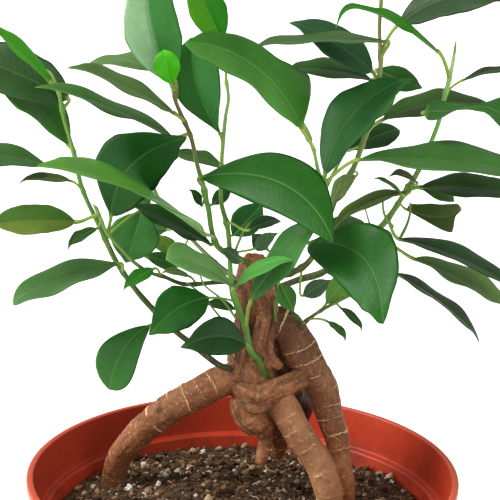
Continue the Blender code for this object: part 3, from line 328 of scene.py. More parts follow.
def smooth_path(points, step):
    """Points every `step` mm along a Catmull-Rom curve through the given points."""
    p = np.asarray(points, float)
    p = np.vstack([2 * p[0] - p[1], p, 2 * p[-1] - p[-2]])
    out = []
    for i in range(1, len(p) - 2):
        a, b, c, d = p[i - 1], p[i], p[i + 1], p[i + 2]
        n = max(4, int(np.linalg.norm(c - b)))
        for k in range(n):
            t = k / n
            out.append(0.5 * (2 * b + (c - a) * t + (2 * a - 5 * b + 4 * c - d) * t * t + (3 * b - a - 3 * c + d) * t**3))
    out.append(p[-2])
    out = np.array(out)
    run = np.concatenate([[0], np.cumsum(np.linalg.norm(np.diff(out, axis=0), axis=1))])
    m = max(2, int(round(run[-1] / step)) + 1)
    s = np.linspace(0, run[-1], m)
    return np.stack([np.interp(s, run, out[:, k]) for k in range(3)], 1)


def along(points, s):
    """The point s mm along a smooth path, and its direction there."""
    fine = smooth_path(points, 1.0)
    run = np.concatenate([[0], np.cumsum(np.linalg.norm(np.diff(fine, axis=0), axis=1))])
    s = min(max(s, 0.0), run[-1])
    at = np.array([np.interp(s, run, fine[:, k]) for k in range(3)])
    lo, hi = max(0.0, s - 1.5), min(run[-1], s + 1.5)
    a = np.array([np.interp(lo, run, fine[:, k]) for k in range(3)])
    b = np.array([np.interp(hi, run, fine[:, k]) for k in range(3)])
    return at, unit(b - a)


def path_length(points):
    fine = smooth_path(points, 1.0)
    return float(np.linalg.norm(np.diff(fine, axis=0), axis=1).sum())


def blade_frame(heading, pitch, roll):
    """Axes of a blade: along its midrib, across it, and out of its upper face."""
    x = heading_pitch(heading, pitch)
    z0 = heading_pitch(heading, pitch + 90)
    y0 = np.cross(z0, x)
    r = math.radians(roll)
    z = z0 * math.cos(r) - y0 * math.sin(r)
    return x, np.cross(z, x), z


def half_width(u, kind):
    """Half width of a blade over its full width, at u from the base, 0, to the tip, 1."""
    u = np.clip(np.asarray(u, float), 0.0, 1.0)
    belly, full = {"oval": (0.92, 0.80), "lance": (0.86, 1.0), "obovate": (1.12, 0.82), "round": (0.92, 0.62), "broad": (0.74, 0.78), "blunt": (1.15, 0.66)}[kind]
    w = np.sin(math.pi * u**belly) ** full
    tip = np.clip((u - 0.86) / 0.14, 0, 1)
    return 0.5 * w * (1 - 0.35 * tip * (1 - tip) * 2)


def blade_point(leaf, u, v):
    """A point of the blade's middle surface, in mm. v runs from -1 to 1 across it."""
    x, y, z = leaf["axes"]
    L, W = leaf["length"], leaf["width"]
    u = np.asarray(u, float)
    hw = half_width(u, leaf["kind"]) * W
    across = v * hw
    lift = leaf["arch"] / 100 * L * 4 * u * (1 - u)
    slope = math.tan(math.radians(leaf["fold"]))
    lift = lift + slope * np.abs(across) - 0.5 * slope * across**2 / (0.5 * W)
    side = leaf["bow"] / 100 * L * 4 * u * (1 - u)
    return leaf["base"] + np.multiply.outer(u * L, x) + np.multiply.outer(across + side, y) + np.multiply.outer(lift, z)


def turn_to(frame, tangent):
    """The frame turned by the least angle so that its first axis is the tangent."""
    a, b = frame[0], unit(tangent)
    c = float(a @ b)
    w = np.cross(a, b)
    s = math.sqrt(float(w @ w))
    if s < 1e-9:
        return [b, frame[1], frame[2]]
    k = w / s
    out = [b]
    for v in frame[1:]:
        out.append(v * c + np.cross(k, v) * s + k * float(k @ v) * (1 - c))
    return out


def petiole_path(leaf, count):
    """Points of the leaf stalk, from its foot to the blade, and the direction at each."""
    x, y, z = leaf["axes"]
    out = unit(x + 4 * leaf["arch"] / 100 * z + 4 * leaf["bow"] / 100 * y)
    a, c = leaf["foot"], leaf["base"]
    b = c - out * 0.45 * np.linalg.norm(c - a)
    t = np.linspace(0, 1, count)[:, None]
    return a * (1 - t) ** 2 + 2 * b * t * (1 - t) + c * t**2, 2 * (b - a) * (1 - t) + 2 * (c - b) * t


def leaf_from_row(row, shoots, joined):
    """Places one leaf: its stalk leaves the shoot `s` mm above the shoot's foot."""
    shoot, s, ph, pp, pl, bh, bp, length, width, roll, arch, fold, bow, kind = row
    foot_r, tip_r, points = shoots[shoot][:3]
    at, way = along(points, s)
    out = heading_pitch(ph, pp)
    base = at + out * pl
    r = foot_r + (tip_r - foot_r) * min(1.0, s / path_length(points))
    lean = max(0.30, float(np.linalg.norm(np.cross(way, out))))
    skip = 0.0 if joined else min(0.8 * pl, (r + STALK_R + 0.45) / lean)
    return {
        "foot": at + out * skip, "node": at, "base": base, "axes": blade_frame(bh, bp, roll), "length": float(length),
        "width": float(width), "arch": arch, "fold": fold, "bow": bow, "kind": kind, "shoot": shoot,
    }


# ---- noise ----

def _hash(i, j, k, seed):
    n = (i * 374761393 + j * 668265263 + k * 2147483647 + seed * 1274126177) & 0xFFFFFFFF
    n = ((n ^ (n >> 13)) * 1274126177) & 0xFFFFFFFF
    n = (n ^ (n >> 16)) & 0xFFFFFFFF
    return n.astype(np.float64) / 0xFFFFFFFF


def noise3(p, seed=0):
    """Smooth value noise from -1 to 1 at points of shape (n, 3)."""
    p = np.asarray(p, float)
    base = np.floor(p).astype(np.int64)
    f = p - base
    f = f * f * (3 - 2 * f)
    out = 0.0
    for a in (0, 1):
        for b in (0, 1):
            for c in (0, 1):
                w = (f[:, 0] if a else 1 - f[:, 0]) * (f[:, 1] if b else 1 - f[:, 1]) * (f[:, 2] if c else 1 - f[:, 2])
                out = out + w * _hash(base[:, 0] + a, base[:, 1] + b, base[:, 2] + c, seed)
    return out * 2 - 1


def fractal(p, seed=0, octaves=3):
    out, amp, total = 0.0, 1.0, 0.0
    for k in range(octaves):
        out = out + amp * noise3(p * 2.03**k, seed + 17 * k)
        total += amp
        amp *= 0.5
    return out / total


# ---- Blender helpers ----

collection = bpy.context.scene.collection


def make(name, verts, faces, material, attrs=None, smooth=True, scale=MM):
    mesh = bpy.data.meshes.new(name)
    verts = np.asarray(verts, float) * scale
    mesh.from_pydata(verts.tolist(), [], [list(map(int, f)) for f in faces])
    mesh.validate()
    for key, values in (attrs or {}).items():
        values = np.asarray(values, np.float32)
        if values.ndim == 1:
            layer = mesh.attributes.new(key, "FLOAT", "POINT")
            layer.data.foreach_set("value", values)
        else:
            layer = mesh.attributes.new(key, "FLOAT_COLOR", "POINT")
            rgba = np.ones((len(values), 4), np.float32)
            rgba[:, :3] = values
            layer.data.foreach_set("color", rgba.ravel())
    if smooth:
        mesh.shade_smooth()
    mesh.materials.append(material)
    obj = bpy.data.objects.new(name, mesh)
    collection.objects.link(obj)
    return obj


def rings_faces(rings, sides, first_cap=True, last_cap=True, start=0):
    faces = []
    for i in range(rings - 1):
        for k in range(sides):
            a, b = start + i * sides + k, start + i * sides + (k + 1) % sides
            faces.append((a, a + sides, b + sides, b))
    if first_cap:
        faces.append([start + k for k in range(sides)])
    if last_cap:
        faces.append([start + (rings - 1) * sides + k for k in range(sides - 1, -1, -1)])
    return faces


def tube_rings(path, radii, sides, frame_axes=None):
    """Rings of a tube along a path, with the frame carried along it."""
    path = np.asarray(path, float)
    ways = np.gradient(path, axis=0)
    pts, frame_ = [], frame_axes
    for i, (spot, way) in enumerate(zip(path, ways)):
        if frame_ is None:
            way = unit(way)
            side = unit(np.cross(way, [0.31, 0.52, 0.80]))
            frame_ = [way, side, np.cross(way, side)]
        else:
            frame_ = turn_to(frame_, way)
        a = -2 * PI * np.arange(sides) / sides
        pts.append(spot + radii[i] * (np.cos(a)[:, None] * frame_[1] + np.sin(a)[:, None] * frame_[2]))
    return np.vstack(pts)


class Nodes:
    """A short way to wire a material."""

    def __init__(self, name):
        self.material = bpy.data.materials.new(name)
        self.material.use_nodes = True
        self.tree = self.material.node_tree
        self.shader = self.tree.nodes["Principled BSDF"]

    def node(self, kind, **settings):
        n = self.tree.nodes.new(kind)
        for key, value in settings.items():
            setattr(n, key, value)
        return n

    def link(self, a, b):
        self.tree.links.new(a, b)

    def attr(self, name):
        return self.node("ShaderNodeAttribute", attribute_name=name)

    def coords(self):
        return self.node("ShaderNodeTexCoord").outputs["Object"]

    def noise(self, scale, detail=3.0, rough=0.5, vector=None, out="Fac", distortion=0.0):
        n = self.node("ShaderNodeTexNoise")
        n.inputs["Scale"].default_value = scale
        n.inputs["Detail"].default_value = detail
        n.inputs["Roughness"].default_value = rough
        n.inputs["Distortion"].default_value = distortion
        self.link(vector if vector is not None else self.coords(), n.inputs["Vector"])
        return n.outputs[out]

    def math(self, op, a, b=None, c=None, clamp=False):
        n = self.node("ShaderNodeMath", operation=op, use_clamp=clamp)
        for i, x in enumerate((a, b, c)):
            if x is None:
                continue
            if isinstance(x, (int, float)):
                n.inputs[i].default_value = x
            else:
                self.link(x, n.inputs[i])
        return n.outputs[0]

    def ramp(self, fac, stops):
        n = self.node("ShaderNodeValToRGB")
        while len(n.color_ramp.elements) < len(stops):
            n.color_ramp.elements.new(0.5)
        for e, (pos, col) in zip(n.color_ramp.elements, stops):
            e.position = pos
            e.color = (*col, 1.0) if len(col) == 3 else col
        self.link(fac, n.inputs["Fac"])
        return n.outputs["Color"]

    def mix(self, fac, a, b, blend="MIX"):
        n = self.node("ShaderNodeMix", data_type="RGBA", blend_type=blend)
        for socket, x in ((n.inputs[0], fac), (n.inputs[6], a), (n.inputs[7], b)):
            if isinstance(x, (int, float)):
                socket.default_value = x
            elif isinstance(x, tuple):
                socket.default_value = (*x, 1.0) if len(x) == 3 else x
            else:
                self.link(x, socket)
        return n.outputs[2]

    def remap(self, value, a, b, c, d):
        n = self.node("ShaderNodeMapRange")
        n.clamp = True
        for key, x in zip(("From Min", "From Max", "To Min", "To Max"), (a, b, c, d)):
            n.inputs[key].default_value = x
        self.link(value, n.inputs["Value"])
        return n.outputs["Result"]

    def bump(self, height, strength, distance, under=None):
        n = self.node("ShaderNodeBump")
        n.inputs["Strength"].default_value = strength
        n.inputs["Distance"].default_value = distance
        self.link(height, n.inputs["Height"])
        if under is not None:
            self.link(under, n.inputs["Normal"])
        return n.outputs["Normal"]

    def set(self, **values):
        names = {"color": "Base Color", "rough": "Roughness", "normal": "Normal", "coat": "Coat Weight", "coat_rough": "Coat Roughness",
                 "sss": "Subsurface Weight", "spec": "Specular IOR Level", "sheen": "Sheen Weight", "ior": "IOR"}
        for key, value in values.items():
            socket = self.shader.inputs[names[key]]
            if isinstance(value, (int, float)):
                socket.default_value = value
            elif isinstance(value, tuple):
                socket.default_value = (*value, 1.0)
            else:
                self.link(value, socket)
        return self.material


def srgb(r, g, b):
    return tuple(((c / 255 + 0.055) / 1.055) ** 2.4 if c > 10 else c / 255 / 12.92 for c in (r, g, b))


# ---- materials ----

def pot_material():
    m = Nodes("pot_plastic_fine")
    broad = m.noise(9.0, 4.0, 0.55)
    fine = m.noise(420.0, 3.0, 0.6)
    dust = m.noise(60.0, 6.0, 0.7)
    col = m.mix(m.remap(broad, 0.3, 0.7, 0.0, 1.0), srgb(192, 72, 42), srgb(208, 86, 52))
    col = m.mix(m.remap(fine, 0.35, 0.7, 0.0, 0.35), col, srgb(170, 56, 36))
    soiled = m.math("MULTIPLY", m.attr("soiled").outputs["Fac"], m.remap(dust, 0.45, 0.72, 0.0, 1.0))
    col = m.mix(soiled, col, srgb(70, 42, 28))
    # painted shade: the pot's inner wall is multiplied darker and redder, standing in for the shade inside the pot
    col = m.mix(m.attr("inside").outputs["Fac"], col, m.mix(1.0, col, (0.95, 0.62, 0.55), "MULTIPLY"))
    rough = m.remap(m.noise(35.0, 4.0, 0.6), 0.3, 0.7, 0.36, 0.5)
    wavy = m.noise(14.0, 2.0, 0.5)
    n = m.bump(wavy, 0.12, 0.002)
    n = m.bump(fine, 0.10, 0.0004, n)
    return m.set(color=col, rough=rough, normal=n, spec=0.45)


def bark_material():
    m = Nodes("root_bark_fine")
    v = m.coords()
    broad = m.noise(70.0, 4.0, 0.6, v)
    patch = m.noise(190.0, 5.0, 0.65, v, distortion=0.6)
    grain = m.noise(900.0, 4.0, 0.6, v)
    base = m.ramp(broad, [(0.25, srgb(106, 58, 34)), (0.5, srgb(146, 92, 56)), (0.78, srgb(182, 126, 82))])
    base = m.mix(m.remap(patch, 0.42, 0.7, 0.0, 0.75), base, srgb(120, 74, 44))
    # pale specks: partly pale fibres of the bark, partly painted glints of light
    base = m.mix(m.remap(grain, 0.55, 0.66, 0.0, 0.46), base, srgb(206, 160, 114))
    base = m.mix(m.remap(grain, 0.22, 0.44, 0.6, 0.0), base, srgb(78, 46, 28))
    # painted light and shade: each root's bark is scaled brighter or darker by its brightness attribute, and where that
    # is high the colour is drawn towards a pale tan as a painted highlight
    lit_and_shaded = m.node("ShaderNodeVectorMath", operation="SCALE")
    m.link(base, lit_and_shaded.inputs[0])
    light_shade = m.attr("light_shade").outputs["Fac"]
    m.link(m.math("MINIMUM", light_shade, 1.35), lit_and_shaded.inputs["Scale"])
    base = m.mix(m.remap(light_shade, 1.25, 2.2, 0.0, 0.5), lit_and_shaded.outputs["Vector"], srgb(218, 174, 128))
    ring = m.math("MULTIPLY", m.remap(m.attr("swing").outputs["Fac"], 0.945, 0.978, 0.0, 1.0), m.attr("part").outputs["Fac"])
    base = m.mix(m.math("MULTIPLY", ring, m.remap(patch, 0.3, 0.45, 0.45, 0.95)), base, srgb(238, 200, 152))
    # painted shade: grooves, pits, creases between roots, the scar's sunken middle, the web and behind roots and the
    # roots near the soil are painted dark brown
    painted_shade = m.attr("painted_shade").outputs["Fac"]
    base = m.mix(m.math("MULTIPLY", painted_shade, 0.85, clamp=True), base, srgb(52, 29, 18))
    green = m.attr("cut").outputs["Fac"]
    base = m.mix(green, base, m.mix(m.remap(grain, 0.35, 0.65, 0.0, 1.0), srgb(118, 66, 38), srgb(196, 122, 70)))
    rough = m.remap(patch, 0.3, 0.7, 0.5, 0.76)
    n = m.bump(patch, 0.55, 0.0009)
    n = m.bump(grain, 0.5, 0.0003, n)
    return m.set(color=base, rough=rough, normal=n, spec=0.35)


def stem_material():
    m = Nodes("green_stem_fine")
    t = m.attr("t").outputs["Fac"]
    v = m.coords()
    streak = m.node("ShaderNodeMapping")
    streak.inputs["Scale"].default_value = (1.0, 1.0, 0.22)
    m.link(v, streak.inputs["Vector"])
    lines = m.noise(900.0, 3.0, 0.6, streak.outputs["Vector"])
    spots = m.noise(420.0, 3.0, 0.6, v)
    col = m.attr("tone").outputs["Color"]
    col = m.mix(m.remap(lines, 0.5, 0.75, 0.0, 0.4), col, srgb(150, 160, 96))
    col = m.mix(m.math("MULTIPLY", m.remap(spots, 0.55, 0.72, 0.0, 0.75), m.remap(t, 0.0, 0.7, 1.0, 0.15)), col, srgb(104, 76, 42))
    col = m.mix(m.attr("bud").outputs["Fac"], col, m.mix(m.remap(spots, 0.3, 0.7, 0.0, 1.0), srgb(136, 166, 84), srgb(118, 128, 62)))
    n = m.bump(lines, 0.4, 0.0003)
    return m.set(color=col, rough=m.remap(spots, 0.3, 0.7, 0.42, 0.6), normal=n, spec=0.4)


def leaf_material():
    m = Nodes("leaf_fine")
    tone = m.attr("tone").outputs["Color"]
    u = m.attr("lu").outputs["Fac"]
    y = m.math("ABSOLUTE", m.attr("ly").outputs["Fac"])
    along_mm = m.attr("lx").outputs["Fac"]
    under = m.attr("under").outputs["Fac"]
    seed = m.attr("seed").outputs["Fac"]
    shift = m.node("ShaderNodeCombineXYZ")
    m.link(m.math("MULTIPLY", seed, 3.7), shift.inputs["X"])
    add = m.node("ShaderNodeVectorMath", operation="ADD")
    m.link(m.coords(), add.inputs[0])
    m.link(shift.outputs["Vector"], add.inputs[1])
    v = add.outputs["Vector"]
    cloud = m.noise(55.0, 4.0, 0.6, v)
    fleck = m.noise(700.0, 4.0, 0.65, v)
    wob = m.noise(260.0, 2.0, 0.5, v)
    # side veins leave the midrib at a steep angle and curve towards the tip
    bent = m.math("SUBTRACT", along_mm, m.math("MULTIPLY", m.math("POWER", y, 0.9), 1.0))
    bent = m.math("ADD", bent, m.math("MULTIPLY", wob, 1.1))
    phase = m.math("FRACT", m.math("DIVIDE", bent, 2.6))
    tri = m.math("ABSOLUTE", m.math("SUBTRACT", phase, 0.5))
    vein = m.remap(tri, 0.0, 0.085, 1.0, 0.0)
    vein = m.math("MULTIPLY", vein, m.remap(y, 0.4, 9.0, 0.9, 0.1))
    mid = m.remap(y, 0.16, 0.5, 1.0, 0.0)
    mid = m.math("MULTIPLY", mid, m.remap(u, 0.0, 1.0, 1.0, 0.45))
    rim = m.attr("edge").outputs["Fac"]
    light = m.mix(1.0, tone, (1.55, 1.38, 1.25), "MULTIPLY")
    deep = m.mix(1.0, tone, (0.66, 0.74, 0.70), "MULTIPLY")
    col = m.mix(m.remap(cloud, 0.32, 0.7, 0.0, 1.0), deep, tone)
    col = m.mix(m.remap(fleck, 0.52, 0.8, 0.0, 0.45), col, light)
    col = m.mix(m.math("MULTIPLY", vein, 0.20), col, light)
    col = m.mix(m.math("MULTIPLY", mid, 0.36), col, m.mix(0.35, light, srgb(150, 180, 96)))
    col = m.mix(m.math("MULTIPLY", m.math("POWER", rim, 8.0), 0.35), col, light)
    pale = m.mix(0.55, tone, srgb(128, 158, 112))
    col = m.mix(m.math("MULTIPLY", under, 0.75), col, pale)
    stalk = m.remap(u, -0.02, 0.03, 1.0, 0.0)
    col = m.mix(stalk, col, m.mix(m.remap(cloud, 0.3, 0.7, 0.0, 1.0), srgb(126, 158, 62), srgb(148, 176, 84)))
    rough = m.math("ADD", m.remap(fleck, 0.3, 0.7, 0.33, 0.47), m.math("MULTIPLY", under, 0.2))
    relief = m.math("ADD", m.math("MULTIPLY", vein, -0.14), m.math("MULTIPLY", cloud, 1.3))
    relief = m.math("ADD", relief, m.math("MULTIPLY", mid, -0.6))
    n = m.bump(relief, 0.55, 0.0007)
    n = m.bump(fleck, 0.16, 0.0002, n)
    return m.set(color=col, rough=rough, normal=n, spec=0.17)


def soil_material():
    m = Nodes("potting_mix_fine")
    v = m.coords()
    big = m.noise(150.0, 5.0, 0.7, v)
    small = m.noise(900.0, 5.0, 0.75, v)
    col = m.ramp(small, [(0.25, srgb(40, 27, 19)), (0.46, srgb(84, 60, 42)), (0.62, srgb(134, 104, 74)), (0.8, srgb(196, 168, 132))])
    col = m.mix(m.remap(big, 0.4, 0.65, 0.0, 0.7), col, srgb(48, 32, 22))
    n = m.bump(small, 0.9, 0.0011)
    n = m.bump(m.noise(2400.0, 2.0, 0.6, v), 0.5, 0.0003, n)
    return m.set(color=col, rough=m.remap(small, 0.2, 0.8, 0.8, 0.97), normal=n, spec=0.25)


def crumb_material(name, stops, scale, bump):
    m = Nodes(name)
    v = m.coords()
    which = m.attr("pick").outputs["Fac"]
    fine = m.noise(scale, 4.0, 0.7, v)
    fac = m.math("ADD", m.math("MULTIPLY", which, 0.7), m.math("MULTIPLY", fine, 0.4))
    col = m.ramp(fac, stops)
    n = m.bump(fine, 0.8, bump)
    return m.set(color=col, rough=m.remap(fine, 0.2, 0.8, 0.75, 0.95), normal=n, spec=0.3)


POT, BARK, STEM, LEAF, SOIL = pot_material(), bark_material(), stem_material(), leaf_material(), soil_material()
CRUMB = crumb_material("peat_crumbs_fine", [(0.2, srgb(38, 25, 17)), (0.45, srgb(74, 51, 35)), (0.66, srgb(112, 81, 56)), (0.8, srgb(156, 122, 88)), (0.93, srgb(212, 186, 152))], 1500.0, 0.0006)
PERLITE = crumb_material("perlite_fine", [(0.15, srgb(168, 156, 134)), (0.5, srgb(214, 206, 188)), (0.85, srgb(244, 240, 228))], 1200.0, 0.0006)


def attach(piece, slot, *nodes):
    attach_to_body(piece, "root")
    if nodes:
        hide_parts(*nodes)
    return piece


# ---- pot ----

def build_pot():
    h = POT_HEIGHT
    rim, wall, drop = 75.0, 2.4, 15.0
    inner = rim - wall
    ledge = h - drop
    body = 70.4
    floor = 2.2
    inner_body = body - 1.9
    p = []

    def arc(cx, cz, r, a0, a1, n):
        for i in range(n + 1):
            a = math.radians(a0 + (a1 - a0) * i / n)
            p.append((cx + r * math.cos(a), cz + r * math.sin(a)))

    p.append((0.0, floor))
    for r in (12, 24, 36, 44):
        p.append((r, floor))
    arc(52 - 1.9 - 1.2, floor + 1.2, 1.2, -90, 0, 5)
    for f in (0.2, 0.4, 0.6, 0.8, 0.9):
        p.append((50.1 + (inner_body - 50.1) * f, floor + 1.2 + (ledge - 2.2 - floor) * f))
    arc(inner_body + 0.9, ledge - 1.0, 0.9, 180, 100, 4)
    p.append((inner_body + 1.6, ledge - 0.05))
    arc(inner - 1.9, ledge + 0.55, 0.55, -90, 0, 4)
    p.append((inner - 1.0, ledge + 4.0))
    p.append((inner - 0.5, ledge + 9.0))
    arc(inner + 0.6, h - 0.6, 0.6, 180, 90, 4)
    arc(rim - 0.8, h - 0.8, 0.8, 90, 0, 5)
    p.append((rim - 0.05, h - 2.0))
    arc(rim - 0.6, h - 2.8, 0.5, 0, -80, 3)
    p.append((rim - 0.95, h - 3.6))
    p.append((74.3 - 0.5, h - 9.0))
    arc(73.2 - 0.8, ledge - 2.2, 0.8, 0, -90, 4)
    p.append((body + 0.5, ledge - 3.05))
    arc(body + 0.5, ledge - 3.55, 0.5, 90, 180, 3)
    for f in (0.15, 0.35, 0.55, 0.75, 0.93):
        p.append((body + (52 - body) * f, ledge - 4.4 + (1.4 - ledge + 4.4) * f))
    arc(52 - 1.2, 1.2, 1.2, 0, -90, 5)
    for r in (42, 34, 24, 12):
        p.append((r, 0.0))
    p.append((0.0, 0.0))
    steps = 144
    verts, inside, soiled = [], [], []
    count = len(p)
    ang = 2 * PI * np.arange(steps) / steps
    for i, (r, z) in enumerate(p):
        wob = 0.12 * np.sin(2 * ang + 0.7) * (1 if z > 100 else z / 100)
        is_in = 1.0 if i <= p.index(next(q for q in p if q[1] >= h - 0.61)) else 0.0
        if r < 1e-6:
            verts.append((0, 0, z)); inside.append(is_in); soiled.append(0.0)
            continue
        for k in range(steps):
            rr = r + (wob[k] if 5 < z else 0)
            verts.append((rr * math.cos(ang[k]), rr * math.sin(ang[k]), z))
            inside.append(is_in)
            soiled.append(float(np.clip((118 - z) / 12, 0, 1)) * is_in)
    faces = []
    ring_at = lambda i: 1 + (i - 1) * steps
    for k in range(steps):
        faces.append((0, ring_at(1) + k, ring_at(1) + (k + 1) % steps))
    for i in range(1, count - 2):
        a0, b0 = ring_at(i), ring_at(i + 1)
        for k in range(steps):
            k2 = (k + 1) % steps
            faces.append((a0 + k, b0 + k, b0 + k2, a0 + k2))
    last = ring_at(count - 2)
    end = len(verts) - 1
    for k in range(steps):
        faces.append((last + k, end, last + (k + 1) % steps))
    # the inside mask marks the inner wall, which the pot material darkens as painted shade
    pot = make("pot_fine", verts, faces, POT, {"inside": inside, "soiled": soiled})
    cut = None
    for i in range(6):
        a = 2 * PI * i / 6
        bpy.ops.mesh.primitive_cylinder_add(vertices=32, radius=4.0 * MM, depth=12 * MM, location=(34 * math.cos(a) * MM, 34 * math.sin(a) * MM, MM))
        drill = bpy.context.object
        modifier = pot.modifiers.new("drain_%d" % i, "BOOLEAN")
        modifier.operation, modifier.solver, modifier.object = "DIFFERENCE", "EXACT", drill
        graph = bpy.context.evaluated_depsgraph_get()
        done = bpy.data.meshes.new_from_object(pot.evaluated_get(graph))
        pot.modifiers.clear()
        pot.data = done
        bpy.data.objects.remove(drill)
    pot.data.shade_smooth()
    pot.data.set_sharp_from_angle(angle=math.radians(50))
    attach(pot, "pot_plastic", "pot")
    return pot


# ---- potting mix ----

def wall_radius(z):
    return 50.1 + (68.5 - 50.1) * (z - 3.2) / (109.0 - 3.2)


def soil_height(x, y):
    r = np.hypot(x, y)
    z = 105.0 + 7.0 * 0.5 * (1 + np.cos(PI * np.clip(r, 0, 66) / 66))
    p = np.stack([x, y, np.zeros_like(x)], -1)
    z = z + 1.8 * fractal(p / 17.0, 5, 3) + 1.3 * fractal(p / 4.2, 9, 3) + 0.9 * fractal(p / 1.7, 31, 2)
    return z


def build_soil():
    rings, sectors = 96, 300
    ang = 2 * PI * np.arange(sectors) / sectors
    verts = [np.array([[0, 0, float(soil_height(np.zeros(1), np.zeros(1))[0])]])]
    for i in range(1, rings + 1):
        r = 67.2 * (i / rings)
        x, y = r * np.cos(ang), r * np.sin(ang)
        z = soil_height(x, y)
        verts.append(np.stack([x, y, z], -1))
    for z in (98.0, 60.0, 20.0, 3.0):
        r = wall_radius(z) - 0.45
        verts.append(np.stack([r * np.cos(ang), r * np.sin(ang), np.full(sectors, z)], -1))
    verts.append(np.array([[0, 0, 2.7]]))
    verts = np.vstack(verts)
    faces = [(0, 1 + k, 1 + (k + 1) % sectors) for k in range(sectors)]
    n = rings + 4
    for i in range(n - 1):
        a, b = 1 + i * sectors, 1 + (i + 1) * sectors
        for k in range(sectors):
            k2 = (k + 1) % sectors
            faces.append((a + k, b + k, b + k2, a + k2))
    a, end = 1 + (n - 1) * sectors, len(verts) - 1
    faces += [(a + k, end, a + (k + 1) % sectors) for k in range(sectors)]
    soil = make("soil_fine", verts, faces, SOIL)
    attach(soil, "potting_mix", "soil")

    base = icosphere(1)
    fine = icosphere(2)
    rng = np.random.default_rng(11)

    def scatter(name, count, shape, low, high, power, material, seed, flat=0.6, sink=0.25):
        pv, pf = shape
        allv, allf, pick, total = [], [], [], 0
        rng_ = np.random.default_rng(seed)
        placed = 0
        while placed < count:
            r = 66.6 * math.sqrt(rng_.random())
            a = rng_.random() * 2 * PI
            x, y = r * math.cos(a), r * math.sin(a)
            size = low + (high - low) * rng_.random() ** power
            q = pv * np.array([1.0, 0.6 + 0.5 * rng_.random(), flat + 0.4 * rng_.random()])
            q = q * (1 + 0.75 * fractal(pv * 1.7 + placed * 7.1, seed, 2)[:, None])
            rot = Matrix.Rotation(rng_.random() * 6.28, 3, "Z") @ Matrix.Rotation(rng_.random() * 1.2, 3, "X") @ Matrix.Rotation(rng_.random() * 1.2, 3, "Y")
            q = q @ np.array(rot) * size * 0.5
            z = float(soil_height(np.array([x]), np.array([y]))[0])
            lim = wall_radius(z) - 0.6 - size * 0.5
            if r > lim:
                x, y = x * lim / r, y * lim / r
            q = q + np.array([x, y, z + size * (0.5 - sink) * 0.6])
            allv.append(q)
            allf.append(pf + total)
            pick.append(np.full(len(q), rng_.random()))
            total += len(q)
            placed += 1
        obj = make(name, np.vstack(allv), np.vstack(allf), material, {"pick": np.concatenate(pick)})
        attach(obj, "potting_mix")
        return obj

    scatter("peat_crumbs", 2400, base, 0.7, 3.4, 2.6, CRUMB, 3, flat=0.45)
    scatter("peat_specks", 2400, icosphere(0), 0.5, 1.7, 1.6, CRUMB, 5, flat=0.5)
    scatter("perlite_grains", 420, fine, 0.7, 3.4, 3.6, PERLITE, 8, flat=0.6)
    # a few fibres lying in the mix
    allv, allf, pick, total = [], [], [], 0
    for i in range(260):
        r, a, head = 62 * math.sqrt(rng.random()), rng.random() * 2 * PI, rng.random() * 2 * PI
        length = 3 + 9 * rng.random() ** 2
        s = np.linspace(-0.5, 0.5, 7) * length
        bend = (rng.random() - 0.5) * 0.25
        x = r * math.cos(a) + s * math.cos(head) - bend * s * s * math.sin(head)
        y = r * math.sin(a) + s * math.sin(head) + bend * s * s * math.cos(head)
        keep = np.hypot(x, y).max()
        if keep > 65:
            x, y = x * 65 / keep, y * 65 / keep
        z = soil_height(x, y) + 0.35 + 0.5 * rng.random()
        pts = tube_rings(np.stack([x, y, z], -1), np.full(7, 0.13 + 0.2 * rng.random()) * np.array([0.5, 0.9, 1, 1, 1, 0.9, 0.4]), 5)
        allv.append(pts)
        allf += rings_faces(7, 5, start=total)
        pick.append(np.full(len(pts), 0.2 + 0.8 * rng.random()))
        total += len(pts)
    attach(make("peat_fibres", np.vstack(allv), allf, CRUMB, {"pick": np.concatenate(pick)}), "potting_mix")


def icosphere(level):
    t = (1 + math.sqrt(5)) / 2
    v = [(-1, t, 0), (1, t, 0), (-1, -t, 0), (1, -t, 0), (0, -1, t), (0, 1, t), (0, -1, -t), (0, 1, -t), (t, 0, -1), (t, 0, 1), (-t, 0, -1), (-t, 0, 1)]
    v = [unit(x) for x in v]
    f = [(0, 11, 5), (0, 5, 1), (0, 1, 7), (0, 7, 10), (0, 10, 11), (1, 5, 9), (5, 11, 4), (11, 10, 2), (10, 7, 6), (7, 1, 8),
         (3, 9, 4), (3, 4, 2), (3, 2, 6), (3, 6, 8), (3, 8, 9), (4, 9, 5), (2, 4, 11), (6, 2, 10), (8, 6, 7), (9, 8, 1)]
    for _ in range(level):
        seen, out = {}, []

        def half(a, b):
            key = (min(a, b), max(a, b))
            if key not in seen:
                seen[key] = len(v)
                v.append(unit(v[a] + v[b]))
            return seen[key]

        for a, b, c in f:
            ab, bc, ca = half(a, b), half(b, c), half(c, a)
            out += [(a, ab, ca), (b, bc, ab), (c, ca, bc), (ab, bc, ca)]
        f = out
    return np.array(v), np.array(f)


# ---- rootstock ----

ALL_ROOTS = {**ROOTS, **STRANDS}


def root_line(key, step=0.5):
    points, radii = ALL_ROOTS[key]
    path = smooth_path(points, step)
    run = np.concatenate([[0], np.cumsum(np.linalg.norm(np.diff(np.array(points, float), axis=0), axis=1))])
    return path, np.interp(np.linspace(0, run[-1], len(path)), run, radii)


